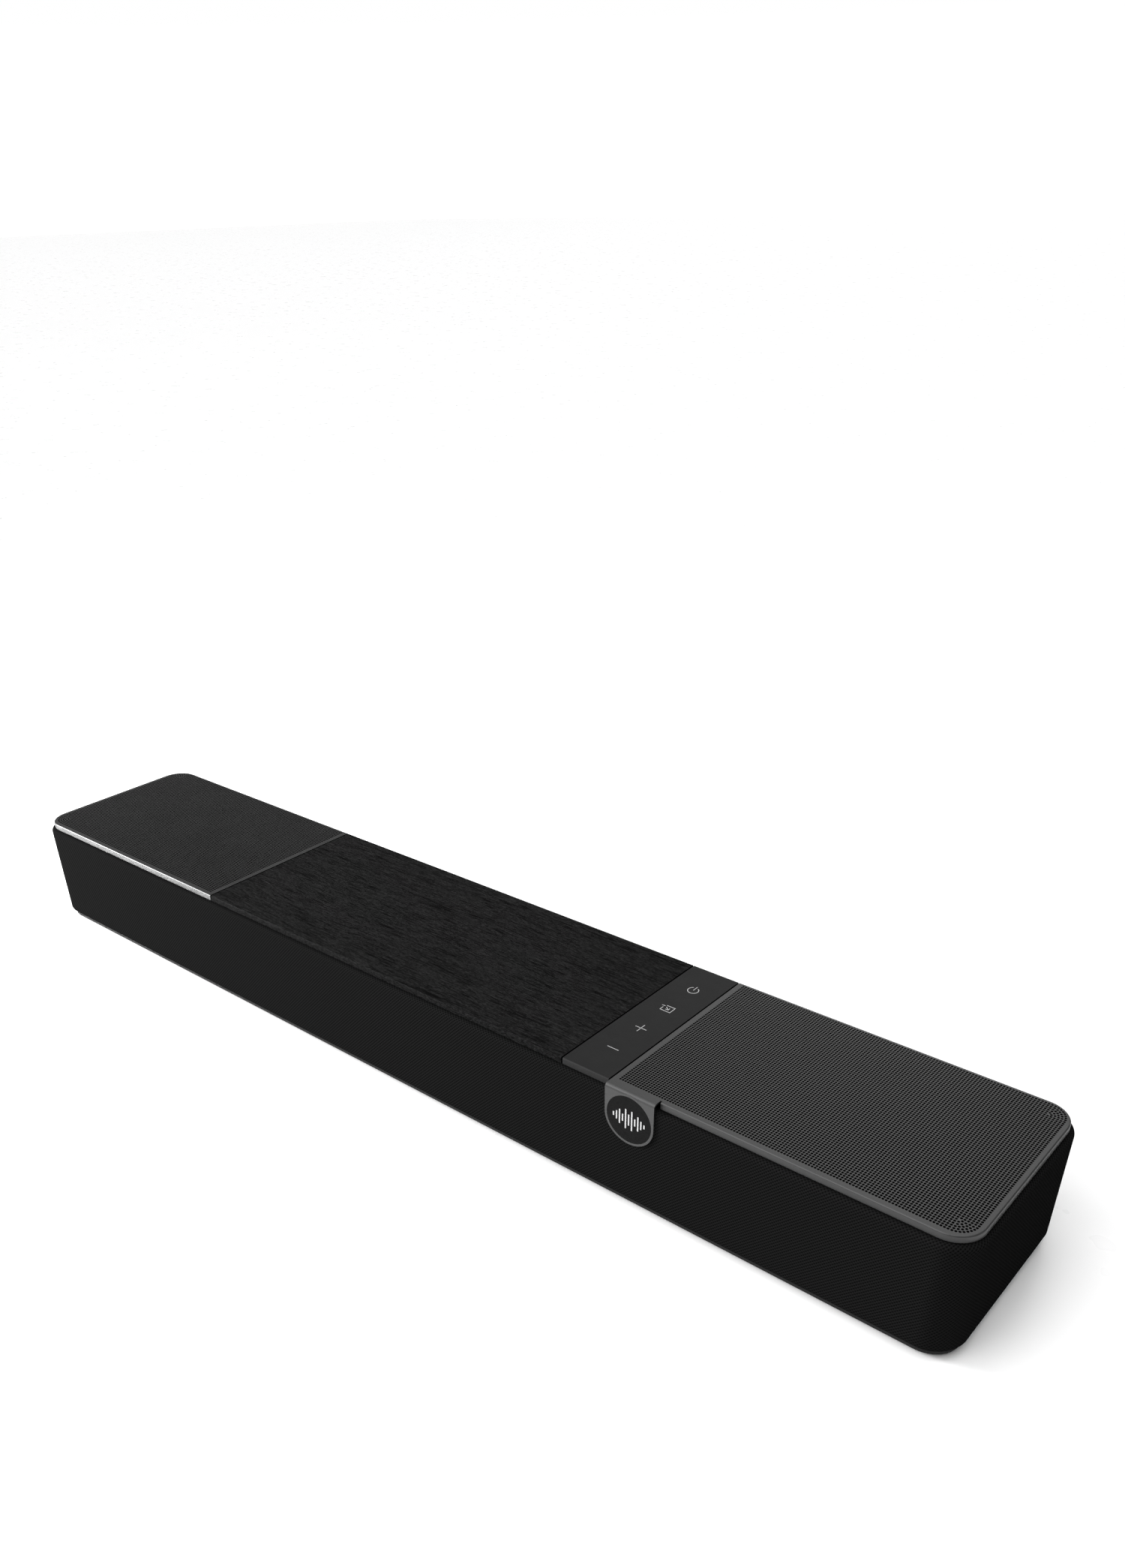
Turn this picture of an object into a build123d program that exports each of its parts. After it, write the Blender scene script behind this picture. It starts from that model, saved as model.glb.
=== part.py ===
"""Compact soundbar: up-firing subwoofers under both ends, full-range drivers behind the front cloth.

Millimetres. X runs along the bar, the front faces -Y and Z is up. The origin lies between the feet,
on the surface that the bar stands on.
"""

import os
from dataclasses import dataclass
from math import asin, cos, radians, sin, tan

from build123d import *

os.makedirs("parts", exist_ok=True)

# Driving dimensions ---------------------------------------------------------------------------------
LENGTH = 711.2
DEPTH = 124.4
HEIGHT = 75.0
CORNER = 18.0  # plan radius of the body's vertical corners
FOOT_HEIGHT = 2.7

# Cloth wrap and the frame that carries it
CLOTH = 0.8
FRAME_WALL = 2.2
BODY_LOW = 5.6
BODY_HIGH = 70.5
SHOULDER = 2.5  # rounding along the body's top edge
HEEL = 3.1  # rounding along its bottom edge
LIP = 5.0  # how far the cloth turns in over the frame's edges
REAR_HALF = 330.0  # half the width of the rear cover

# Caps on top: sheet with a turned-down rim
CAP_INSET = 2.75
CAP_RIM = 3.7
CAP_SKIN = 1.0
CAP_EDGE = 0.9
SEAM = 0.9
SEAM_LEFT = -161.4
SEAM_WOOD = 129.8
SEAM_RIGHT = 160.5

# Top frame: pockets and openings as their ends along X
FRAME_GAP = 0.1  # inside the caps' rims
FRAME_REST = 0.2  # over the cloth
FRAME_STEP = 0.4  # inside the cloth's turned-in edge
WOOD_POCKET = (-152.0, 122.0)
WOOD_PLATE = 1.5
STRIP_POCKET = (134.0, 156.5)
POCKET_HALF = 50.0
GRILLE_OPENINGS = [(-346.0, -169.0), (168.0, 346.0)]
OPENING_DEPTH = 106.0
OPENING_CORNER = 9.0

# Badge tab that hangs over the front edge
TAB_LOW_X = 160.9
TAB_WIDTH = 30.3
TAB_THICK = 1.0
TAB_BEND = 2.2
TAB_CENTRE_Z = HEIGHT - 15.95
TAB_BACK_Y = -DEPTH / 2 - 0.1
TAB_SLIT = 1.0  # relief slit beside the tab
TAB_ROOT_Y = -57.9  # where the tab leaves the cap's skin
TAB_RELIEF_Y = -57.2  # front of the top frame behind the tab
TAB_GAP = 0.4  # beside the tab
BADGE_R = 13.8
BADGE_THICK = 0.5
BADGE_GLUE = 0.02
BADGE_GAP = 0.05

# Base
BASE_INSET = 2.6
BASE_LIP = 1.9
BASE_STEP = 2.8
FOOT_LENGTH = 40.0
FOOT_WIDTH = 12.0
FOOT_POCKET = 0.6
FOOT_GAP = 0.2  # between a foot and its pocket's wall
FOOT_EDGE = 0.6
FOOT_X = 300.0
FOOT_Y = 44.0

# Cabinet
CABINET_INSET = 3.2
CABINET_WALL = 3.0
CABINET_LOW = FOOT_HEIGHT + BASE_LIP + 2.0
CABINET_HIGH = 67.2
FLOOR = 2.6
FLOOR_TOP = CABINET_LOW + FLOOR
PARTITION = 2.6
BAY_WALL_X = 78.0  # partitions beside the electronics
CHAMBER_WALL_X = 164.0  # partitions between the full-range and subwoofer chambers
DECK = 2.2
DECK_TOP = CABINET_HIGH + DECK
BITE = 1.0  # how far a wall or column runs into the wall that it joins
RIBBON_SLOT_X = 114.0
RIBBON_SLOT = (4.0, 16.0)

# Window for the indicator lights, behind the cloth
WINDOW_HALF = 20.0
WINDOW_LOW = 34.0
WINDOW_HIGH = 42.0
RECEIVER_X = -12.5
LIGHT_PLACES = (-1.0, 4.0, 9.0, 14.0)

# Connector bay in the rear cover
COVER = 2.4
BAY_HALF = 70.0
BAY_LOW = 14.4
BAY_HIGH = 47.6
BAY_FLOOR_Y = 40.0  # face that the sockets come through
BAY_WALL = 2.0
BAY_CORNER = 4.0
BAY_GAP = 0.4  # between the bay's walls and the cabinet's opening
COVER_EDGE = 1.6
COVER_GAP = 0.3  # between the cover's ends and the cloth
CLOTH_BACK = 12.0  # how far forward of the rear face the cloth and its frame stop

# Sockets: place along X, width and height
SOCKETS = {
    "usb_socket": (8.0, 13.2, 5.8),
    "hdmi_socket": (26.0, 15.2, 5.9),
    "optical_socket": (43.0, 10.0, 10.0),
    "subwoofer_socket": (57.0, 10.0, 12.0),
    "ac_inlet": (-48.0, 22.0, 13.0),
}
SOCKET_DEPTH = 14.0
SOCKET_ROOM = 0.2
SHUTTER = 8.0  # side of the optical socket's square opening
JACK_HIGH = 6.5
JACK_R = 4.15
JACK_BORE_R = 1.6
JACK_LENGTH = 8.0
JACK_BORE = 14.0
INLET_SLOT = (17.0, 8.4)
INLET_RECESS = 10.0
PIN_SPACING = 8.6
PIN_R = 1.2

# Boards
BOARD = 1.6
BOARD_Z = 19.0
BOARD_TOP = BOARD_Z + BOARD
BOARD_FRONT = -44.0
BOARD_REAR = 36.5
MAIN_LOW_X, MAIN_HIGH_X = -4.0, 66.0
POWER_LOW_X, POWER_HIGH_X = -74.0, -10.0
BOARD_POST_R = 3.0
SOCKET_FACE_Y = BAY_FLOOR_Y + 1.0

# Parts on the boards
CHIP = 1.2
AMPLIFIER = (30.0, -22.0)
HEATSINK = (36.0, 28.0)
HEATSINK_BASE = 3.0
HEATSINK_HIGH = 16.0
FINS = 8
FIN = 1.6
TRANSFORMER = (-44.0, -12.0)
CORE = (32.0, 28.0)
CORE_LEG = (4.0, 10.0)
BOBBIN = (24.0, 32.0)
CORE_YOKE = 6.0
TRANSFORMER_HIGH = 24.0
CAPACITOR_R = 6.0
CAPACITOR_HIGH = 22.0
CAPACITOR_PLACES = [(-18, -26), (-18, -12), (-18, 2)]

# Speaker wires
WIRE_R = 1.3
WIRE_GAP = 0.3  # round a lead in a partition's hole
WIRE_Z = 14.0
WIRE_BEND = 12.0
SUB_WIRE_Y = 8.0
FULL_WIRE_Y = -8.0
SUB_WIRE_Z = 41.0  # height at which a lead leaves its subwoofer
SUB_WIRE_X = 205.0  # where that lead turns down
FULL_WIRE_X = 90.0
PLUG_HIGH = 6.0

# Keys under the control strip
KEY_X = (SEAM_WOOD + SEAM_RIGHT) / 2
KEY_PITCH = 24.2
KEY_R = 6.0
KEY_FLANGE_R = 7.4
KEY_FLANGE = 0.5
KEY_STEM_R = 1.5
KEY_GAP = 0.3  # round a key in its guide
KEY_PLAY = 0.1  # between a key's flange and the plate over it
KEY_REST = 0.05  # between a key and the strip over it
KEY_TRAVEL = 0.45  # between a key's stem and its switch
KEY_PLATE = 1.2
KEY_PLACES = {
    "key_power": 1.5 * KEY_PITCH,
    "key_input": 0.5 * KEY_PITCH,
    "key_volume_up": -0.5 * KEY_PITCH,
    "key_volume_down": -1.5 * KEY_PITCH,
}
CONTROL_BOARD = 1.2
CONTROL_LOW_X, CONTROL_HIGH_X = 134.5, 156.0
CONTROL_HALF = 49.0
CONTROL_HOLE_Y = 46.0
SWITCH = 0.8
SWITCH_SIDE = 6.0
CAP_UNDER = HEIGHT - CAP_SKIN

# Fasteners
SCREW_R = 1.5
SCREW_HEAD_R = 3.0
SCREW_LENGTH = 10.0
BOARD_SCREW_LENGTH = 8.0
SCREW_HEAD = 1.2
SCREW_SEAT = 1.4  # depth of a head's seat in the deck and the rear cover
BASE_SCREW_SEAT = 2.0
PILOT = 9.0
COVER_PILOT = 8.5
DRIVER_SCREW_R = 1.25
DRIVER_SCREW_HEAD_R = 2.0
DRIVER_SCREW_LENGTH = 6.0
PILOT_GAP = 0.05  # radial room round a screw's shank
COLUMN_R = 4.0
COLUMNS = [(sx * 338, sy * 44) for sx in (-1, 1) for sy in (-1, 1)]
COLUMNS += [(sx * 180, sy * 46) for sx in (-1, 1) for sy in (-1, 1)]
COLUMNS += [(sx * 90, 48) for sx in (-1, 1)] + [(sx * 40, -51) for sx in (-1, 1)]
COVER_SCREWS = [(sx * x, z) for sx in (-1, 1) for x in (310, 110) for z in (15, 60)]
INSERT_X = 203.2
INSERT_Z = 37.5
INSERT_R = 4.0
INSERT_BORE_R = 2.1
INSERT_LENGTH = 12.0
BOSS_WALL = 2.5
BOSS = 11.0

# Where the drivers sit
SUB_X = 257.0
SUB_WELL_DEPTH = DECK_TOP - 64.0
WELL_RING = 2.2
WELL_LEDGE = 2.0
FULL_X = 119.0
FULL_Z = 37.2
FULL_RECESS = 5.0
FULL_BLOCK = 8.0
FULL_BLOCK_HALF = 31.0
FULL_OPENING = (64.0, 54.0)  # in the cloth's frame, before each full-range driver
FULL_OPENING_CORNER = 8.0
SEAT_GAP = 0.3
WELL_GAP = 0.4
GASKET = 0.6


@dataclass
class DriverSize:
    """Loudspeaker measures. Heights run outward along the axis from the flange's seat."""

    flange_r: float
    flange: float
    hole_r: float
    roll_in: float
    roll_out: float
    lip: float
    sheet: float
    neck_r: float
    neck_h: float
    cap_r: float
    cap_rise: float
    former: float
    coil: float
    spider_h: float
    spider_r: float
    ledge_r: float
    plate_h: float
    plate: float
    plate_r: float
    magnet: float
    magnet_r: float
    magnet_bore_r: float
    yoke: float
    yoke_r: float
    pole_r: float
    screw_circle_r: float


SUBWOOFER = DriverSize(
    flange_r=52.0, flange=1.5, hole_r=45.5, roll_in=37.0, roll_out=44.0, lip=2.4, sheet=0.6,
    neck_r=10.6, neck_h=-14.0, cap_r=15.0, cap_rise=4.5, former=19.0, coil=7.0,
    spider_h=-20.0, spider_r=27.0, ledge_r=31.0, plate_h=-26.5, plate=4.0, plate_r=27.0,
    magnet=12.0, magnet_r=32.0, magnet_bore_r=14.0, yoke=5.0, yoke_r=28.0, pole_r=9.6,
    screw_circle_r=49.3,
)
FULL_RANGE = DriverSize(
    flange_r=28.6, flange=1.2, hole_r=24.0, roll_in=18.0, roll_out=22.6, lip=1.5, sheet=0.45,
    neck_r=6.6, neck_h=-6.5, cap_r=8.6, cap_rise=2.6, former=11.0, coil=4.0,
    spider_h=-9.5, spider_r=14.8, ledge_r=17.5, plate_h=-14.0, plate=2.5, plate_r=15.5,
    magnet=7.0, magnet_r=19.0, magnet_bore_r=9.0, yoke=2.5, yoke_r=16.5, pole_r=5.7,
    screw_circle_r=26.5,
)
COIL_WIRE = 0.35
FORMER_WALL = 0.3
GLUE_GAP = 0.1  # between a moving cone and the suspension parts that flex
BASKET_WALL = 1.0
BASKET_WINDOWS = 6


def save(piece, name):
    """Label a finished sub-part and write its file."""
    piece.part.label = name
    export_step(piece.part, f"parts/{name}.step")


def outline(inset):
    """Body outline drawn in by an inset, added to the current sketch."""
    RectangleRounded(LENGTH - 2 * inset, DEPTH - 2 * inset, CORNER - inset)


def slab(inset, low, high, mode=Mode.ADD):
    """Body outline, drawn in and extruded between two heights."""
    with BuildSketch(Plane.XY.offset(low)) as plan:
        outline(inset)
    extrude(plan.sketch, amount=high - low, mode=mode)


def block(low, high, mode=Mode.ADD):
    """Box between two opposite corners."""
    size = [h - l for l, h in zip(low, high)]
    with Locations([tuple((l + h) / 2 for l, h in zip(low, high))]):
        Box(*size, mode=mode)


def rods(points, radius, low, high, mode=Mode.ADD):
    """Upright round bars at plan positions, between two heights."""
    with BuildSketch(Plane.XY.offset(low)) as plan:
        with Locations(*points):
            Circle(radius)
    extrude(plan.sketch, amount=high - low, mode=mode)


def rear_rods(points, radius, low_y, high_y, mode=Mode.ADD):
    """Round bars along Y at (x, z) positions."""
    with BuildSketch(Plane.XZ.offset(-high_y)) as section:
        with Locations(*points):
            Circle(radius)
    extrude(section.sketch, amount=high_y - low_y, mode=mode)


def vents(low, high):
    """Cooling slots under the electronics, cut between two heights."""
    with BuildSketch(Plane.XY.offset(low)) as slots:
        with GridLocations(12, 56, 9, 2):
            SlotOverall(24, 3, rotation=90)
    extrude(slots.sketch, amount=high - low, mode=Mode.SUBTRACT)


def rounded_body(inset, low, high, shoulder, heel):
    """Closed body volume with its top and bottom edges rounded."""
    with BuildPart() as body:
        slab(inset, low, high)
        fillet(body.faces().sort_by(Axis.Z)[-1].edges(), shoulder)
        fillet(body.faces().sort_by(Axis.Z)[0].edges(), heel)
    return body.part


# Base and feet --------------------------------------------------------------------------------------
foot_places = [(sx * FOOT_X, sy * FOOT_Y) for sx in (-1, 1) for sy in (-1, 1)]
base_top = FOOT_HEIGHT + BASE_LIP

with BuildPart() as base_tray:
    slab(BASE_INSET, FOOT_HEIGHT, base_top)
    slab(BASE_INSET + BASE_STEP, base_top, CABINET_LOW)
    with BuildSketch(Plane.XY.offset(FOOT_HEIGHT)):
        with Locations(*foot_places):
            SlotOverall(FOOT_LENGTH, FOOT_WIDTH)
    extrude(amount=FOOT_POCKET, mode=Mode.SUBTRACT)
    vents(FOOT_HEIGHT, CABINET_LOW)
    rods(COLUMNS, SCREW_R + PILOT_GAP, FOOT_HEIGHT, CABINET_LOW, Mode.SUBTRACT)
    rods(COLUMNS, SCREW_HEAD_R + PILOT_GAP, FOOT_HEIGHT, FOOT_HEIGHT + BASE_SCREW_SEAT, Mode.SUBTRACT)
save(base_tray, "base_tray")

with BuildPart() as rubber_feet:
    with BuildSketch():
        with Locations(*foot_places):
            SlotOverall(FOOT_LENGTH - 2 * FOOT_GAP, FOOT_WIDTH - 2 * FOOT_GAP)
    extrude(amount=FOOT_HEIGHT + FOOT_POCKET)
    fillet(rubber_feet.edges().group_by(Axis.Z)[0], FOOT_EDGE)
save(rubber_feet, "rubber_feet")


# Cabinet and deck -----------------------------------------------------------------------------------
cabinet_front = -DEPTH / 2 + CABINET_INSET
cabinet_rear = -cabinet_front
inner_inset = CABINET_INSET + CABINET_WALL
inner_rear = DEPTH / 2 - inner_inset
bay_room_x = BAY_HALF + BAY_WALL + BAY_GAP
full_seat_y = cabinet_front + FULL_RECESS - GASKET
board_posts = [(x, y) for x in (MAIN_LOW_X + 5, MAIN_HIGH_X - 5) for y in (-38, 20)]
board_posts += [(x, y) for x in (POWER_LOW_X + 5, POWER_HIGH_X - 5) for y in (-38, 20)]
insert_places = [(-INSERT_X, INSERT_Z), (INSERT_X, INSERT_Z)]

with BuildPart() as cabinet:
    slab(CABINET_INSET, CABINET_LOW, CABINET_HIGH)
    slab(inner_inset, FLOOR_TOP, CABINET_HIGH, Mode.SUBTRACT)
    for wall_x in (-CHAMBER_WALL_X, -BAY_WALL_X, BAY_WALL_X, CHAMBER_WALL_X):
        block(
            (wall_x - PARTITION / 2, cabinet_front + BITE, FLOOR_TOP - BITE),
            (wall_x + PARTITION / 2, cabinet_rear - BITE, CABINET_HIGH),
        )
    rods(COLUMNS, COLUMN_R, FLOOR_TOP - BITE, CABINET_HIGH)
    rods(board_posts, BOARD_POST_R, FLOOR_TOP - BITE, BOARD_Z)
    rear_rods(COVER_SCREWS, COLUMN_R, cabinet_rear - PILOT, cabinet_rear)
    rear_rods(insert_places, INSERT_R + BOSS_WALL, cabinet_rear - BOSS, cabinet_rear)
    for side in (-1, 1):
        block(
            (side * FULL_X - FULL_BLOCK_HALF, cabinet_front, CABINET_LOW),
            (side * FULL_X + FULL_BLOCK_HALF, cabinet_front + FULL_BLOCK, CABINET_HIGH),
        )
    full_places = [(-FULL_X, FULL_Z), (FULL_X, FULL_Z)]
    seat = FULL_RANGE.flange_r + SEAT_GAP
    rear_rods(full_places, seat, cabinet_front, cabinet_front + FULL_RECESS, Mode.SUBTRACT)
    rear_rods(full_places, FULL_RANGE.hole_r, cabinet_front, cabinet_front + FULL_BLOCK, Mode.SUBTRACT)
    # Opening for the connector bay, and the window for the indicator board
    block(
        (-bay_room_x, inner_rear - BITE, BAY_LOW - BAY_WALL - BAY_GAP),
        (bay_room_x, DEPTH / 2, BAY_HIGH + BAY_WALL + BAY_GAP),
        Mode.SUBTRACT,
    )
    block(
        (-WINDOW_HALF, cabinet_front, WINDOW_LOW),
        (WINDOW_HALF, cabinet_front + CABINET_WALL, WINDOW_HIGH),
        Mode.SUBTRACT,
    )
    vents(CABINET_LOW, FLOOR_TOP)
    # Screw pilots, insert seats and the holes that the speaker wires run through
    rods(COLUMNS, SCREW_R + PILOT_GAP, CABINET_LOW, CABINET_LOW + PILOT, Mode.SUBTRACT)
    rods(COLUMNS, SCREW_R + PILOT_GAP, CABINET_HIGH - PILOT, CABINET_HIGH, Mode.SUBTRACT)
    rods(board_posts, SCREW_R + PILOT_GAP, BOARD_Z - BOARD_SCREW_LENGTH, BOARD_Z, Mode.SUBTRACT)
    rear_rods(
        COVER_SCREWS, SCREW_R + PILOT_GAP, cabinet_rear - COVER_PILOT, cabinet_rear, Mode.SUBTRACT
    )
    rear_rods(insert_places, INSERT_R, DEPTH / 2 - INSERT_LENGTH, cabinet_rear, Mode.SUBTRACT)
    for seat_x, seat_z in full_places:
        with BuildSketch(Plane((seat_x, cabinet_front, seat_z), z_dir=(0, 1, 0))):
            with PolarLocations(FULL_RANGE.screw_circle_r, 4, start_angle=45):
                Circle(DRIVER_SCREW_R + PILOT_GAP)
        extrude(amount=FULL_BLOCK, mode=Mode.SUBTRACT)
    with BuildSketch(Plane.YZ.offset(-CHAMBER_WALL_X - PARTITION)):
        with Locations((SUB_WIRE_Y, WIRE_Z), (FULL_WIRE_Y, WIRE_Z)):
            Circle(WIRE_R + WIRE_GAP)
    extrude(amount=2 * (CHAMBER_WALL_X + PARTITION), mode=Mode.SUBTRACT)
save(cabinet, "cabinet")

sub_places = [(-SUB_X, 0), (SUB_X, 0)]
sub_ledge_z = DECK_TOP - SUB_WELL_DEPTH
sub_seat_z = sub_ledge_z + GASKET
well_r = SUBWOOFER.flange_r + WELL_GAP

with BuildPart() as top_deck:
    slab(CABINET_INSET, CABINET_HIGH, DECK_TOP)
    rods(sub_places, well_r + WELL_RING, sub_ledge_z - WELL_LEDGE, DECK_TOP)
    rods(sub_places, well_r, sub_ledge_z, DECK_TOP, Mode.SUBTRACT)
    rods(sub_places, SUBWOOFER.hole_r, sub_ledge_z - WELL_LEDGE, sub_ledge_z, Mode.SUBTRACT)
    for place_x, place_y in sub_places:
        with BuildSketch(Plane((place_x, place_y, sub_ledge_z), z_dir=(0, 0, -1))):
            with PolarLocations(SUBWOOFER.screw_circle_r, 4, start_angle=45):
                Circle(DRIVER_SCREW_R + PILOT_GAP)
        extrude(amount=WELL_LEDGE, mode=Mode.SUBTRACT)
    rods(COLUMNS, SCREW_R + PILOT_GAP, CABINET_HIGH, DECK_TOP, Mode.SUBTRACT)
    rods(COLUMNS, SCREW_HEAD_R + PILOT_GAP, DECK_TOP - SCREW_SEAT, DECK_TOP, Mode.SUBTRACT)
    # Slot for the ribbon that joins the control board to the main board
    with Locations((RIBBON_SLOT_X, 0, CABINET_HIGH + DECK / 2)):
        Box(*RIBBON_SLOT, DECK, mode=Mode.SUBTRACT)
save(top_deck, "top_deck")


# Frame and cloth ------------------------------------------------------------------------------------
def rear_gap(mode=Mode.SUBTRACT):
    """Room that the cloth and its frame leave for the rear cover."""
    block(
        (-REAR_HALF - COVER_GAP, DEPTH / 2 - CLOTH_BACK, 0),
        (REAR_HALF + COVER_GAP, DEPTH, HEIGHT),
        mode,
    )


with BuildPart() as grille_frame:
    add(
        rounded_body(
            CLOTH, BODY_LOW + CLOTH, BODY_HIGH - CLOTH, SHOULDER - CLOTH, HEEL - CLOTH
        )
    )
    slab(CLOTH + FRAME_WALL, 0, HEIGHT, Mode.SUBTRACT)
    rear_gap()
    for side in (-1, 1):
        with BuildSketch(Plane.XZ.offset(-cabinet_front)):
            with Locations((side * FULL_X, FULL_Z)):
                RectangleRounded(*FULL_OPENING, FULL_OPENING_CORNER)
        extrude(amount=CABINET_INSET, mode=Mode.SUBTRACT)
    block(
        (-WINDOW_HALF, -DEPTH / 2, WINDOW_LOW),
        (WINDOW_HALF, cabinet_front, WINDOW_HIGH),
        Mode.SUBTRACT,
    )
save(grille_frame, "grille_frame")

with BuildPart() as grille_fabric:
    add(rounded_body(0, BODY_LOW, BODY_HIGH, SHOULDER, HEEL))
    add(
        rounded_body(
            CLOTH, BODY_LOW + CLOTH, BODY_HIGH - CLOTH, SHOULDER - CLOTH, HEEL - CLOTH
        ),
        mode=Mode.SUBTRACT,
    )
    slab(LIP, 0, HEIGHT, Mode.SUBTRACT)
    rear_gap()
save(grille_fabric, "grille_fabric")


# Rear cover with the connector bay ------------------------------------------------------------------
rear_y = DEPTH / 2

with BuildPart() as rear_cover:
    block((-REAR_HALF, rear_y - COVER, CABINET_LOW), (REAR_HALF, rear_y, BODY_HIGH - CLOTH))
    fillet(rear_cover.edges().filter_by(Axis.X).group_by(Axis.Y)[-1], COVER_EDGE)
    block(
        (-BAY_HALF - BAY_WALL, BAY_FLOOR_Y - BAY_WALL, BAY_LOW - BAY_WALL),
        (BAY_HALF + BAY_WALL, rear_y - COVER, BAY_HIGH + BAY_WALL),
    )
    with BuildSketch(Plane.XZ.offset(-rear_y)):
        with Locations((0, (BAY_LOW + BAY_HIGH) / 2)):
            RectangleRounded(2 * BAY_HALF, BAY_HIGH - BAY_LOW, BAY_CORNER)
    extrude(amount=rear_y - BAY_FLOOR_Y, mode=Mode.SUBTRACT)
    for socket_x, width, height in SOCKETS.values():
        half = width / 2 + SOCKET_ROOM
        block(
            (socket_x - half, BAY_FLOOR_Y - BAY_WALL, BOARD_TOP - SOCKET_ROOM),
            (socket_x + half, BAY_FLOOR_Y, BOARD_TOP + height + SOCKET_ROOM),
            Mode.SUBTRACT,
        )
    rear_rods(COVER_SCREWS, SCREW_R + PILOT_GAP, rear_y - COVER, rear_y, Mode.SUBTRACT)
    rear_rods(COVER_SCREWS, SCREW_HEAD_R + PILOT_GAP, rear_y - SCREW_SEAT, rear_y, Mode.SUBTRACT)
    rear_rods(insert_places, INSERT_R, rear_y - COVER, rear_y, Mode.SUBTRACT)
save(rear_cover, "rear_cover")

with BuildPart() as wall_mount_inserts:
    rear_rods(insert_places, INSERT_R, rear_y - INSERT_LENGTH, rear_y)
    rear_rods(insert_places, INSERT_BORE_R, rear_y - INSERT_LENGTH, rear_y, Mode.SUBTRACT)
save(wall_mount_inserts, "wall_mount_inserts")


# Top frame, caps and badge --------------------------------------------------------------------------
cap_length = LENGTH - 2 * CAP_INSET
cap_depth = DEPTH - 2 * CAP_INSET
cap_corner = CORNER - CAP_INSET
cap_low = HEIGHT - CAP_RIM
frame_inset = CAP_INSET + CAP_SKIN + FRAME_GAP
frame_flange_z = BODY_HIGH + FRAME_REST
key_points = [(KEY_X, y) for y in KEY_PLACES.values()]
key_plate_z = CAP_UNDER - KEY_PLATE

with BuildPart() as top_frame:
    slab(frame_inset, frame_flange_z, CAP_UNDER)
    slab(LIP + FRAME_STEP, DECK_TOP, frame_flange_z)
    # Pockets under the wood cap and the control strip leave thin supporting plates
    for (low_x, high_x), pocket_top in ((WOOD_POCKET, CAP_UNDER - WOOD_PLATE), (STRIP_POCKET, key_plate_z)):
        block((low_x, -POCKET_HALF, DECK_TOP), (high_x, POCKET_HALF, pocket_top), Mode.SUBTRACT)
    for low_x, high_x in GRILLE_OPENINGS:
        with BuildSketch(Plane.XY.offset(DECK_TOP)):
            with Locations(((low_x + high_x) / 2, 0)):
                RectangleRounded(high_x - low_x, OPENING_DEPTH, OPENING_CORNER)
        extrude(amount=CAP_UNDER - DECK_TOP, mode=Mode.SUBTRACT)
    rods(key_points, KEY_R + KEY_GAP, key_plate_z, CAP_UNDER, Mode.SUBTRACT)
    # Relief for the badge tab where it leaves the cap
    block(
        (TAB_LOW_X - TAB_GAP, -rear_y, 0),
        (TAB_LOW_X + TAB_WIDTH + TAB_SLIT + TAB_GAP, TAB_RELIEF_Y, CAP_UNDER),
        Mode.SUBTRACT,
    )
save(top_frame, "top_frame")


def cap(low_x, high_x):
    """Stretch of the top between two seams: a thin skin with a turned-down rim."""
    with BuildPart() as whole:
        with BuildSketch(Plane.XY.offset(cap_low)):
            RectangleRounded(cap_length, cap_depth, cap_corner)
        extrude(amount=CAP_RIM)
        fillet(whole.faces().sort_by(Axis.Z)[-1].edges(), CAP_EDGE)
        with BuildSketch(Plane.XY.offset(cap_low)):
            RectangleRounded(
                cap_length - 2 * CAP_SKIN, cap_depth - 2 * CAP_SKIN, cap_corner - CAP_SKIN
            )
        extrude(amount=CAP_RIM - CAP_SKIN, mode=Mode.SUBTRACT)
        block((low_x, -DEPTH, 0), (high_x, DEPTH, 2 * HEIGHT), Mode.INTERSECT)
    return whole.part


with BuildPart() as left_top_grille:
    add(cap(-LENGTH, SEAM_LEFT - SEAM / 2))
save(left_top_grille, "left_top_grille")

with BuildPart() as wood_panel:
    add(cap(SEAM_LEFT + SEAM / 2, SEAM_WOOD - SEAM / 2))
save(wood_panel, "wood_panel")

with BuildPart() as control_strip:
    add(cap(SEAM_WOOD + SEAM / 2, SEAM_RIGHT - SEAM / 2))
save(control_strip, "control_strip")

tab_high_x = TAB_LOW_X + TAB_WIDTH
tab_centre_x = TAB_LOW_X + TAB_WIDTH / 2
tab_front_y = TAB_BACK_Y - TAB_THICK
rim_stop_y = -cap_depth / 2 + 1.5 * CAP_SKIN
badge_seat_y = tab_front_y + BADGE_THICK + BADGE_GLUE

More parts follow.
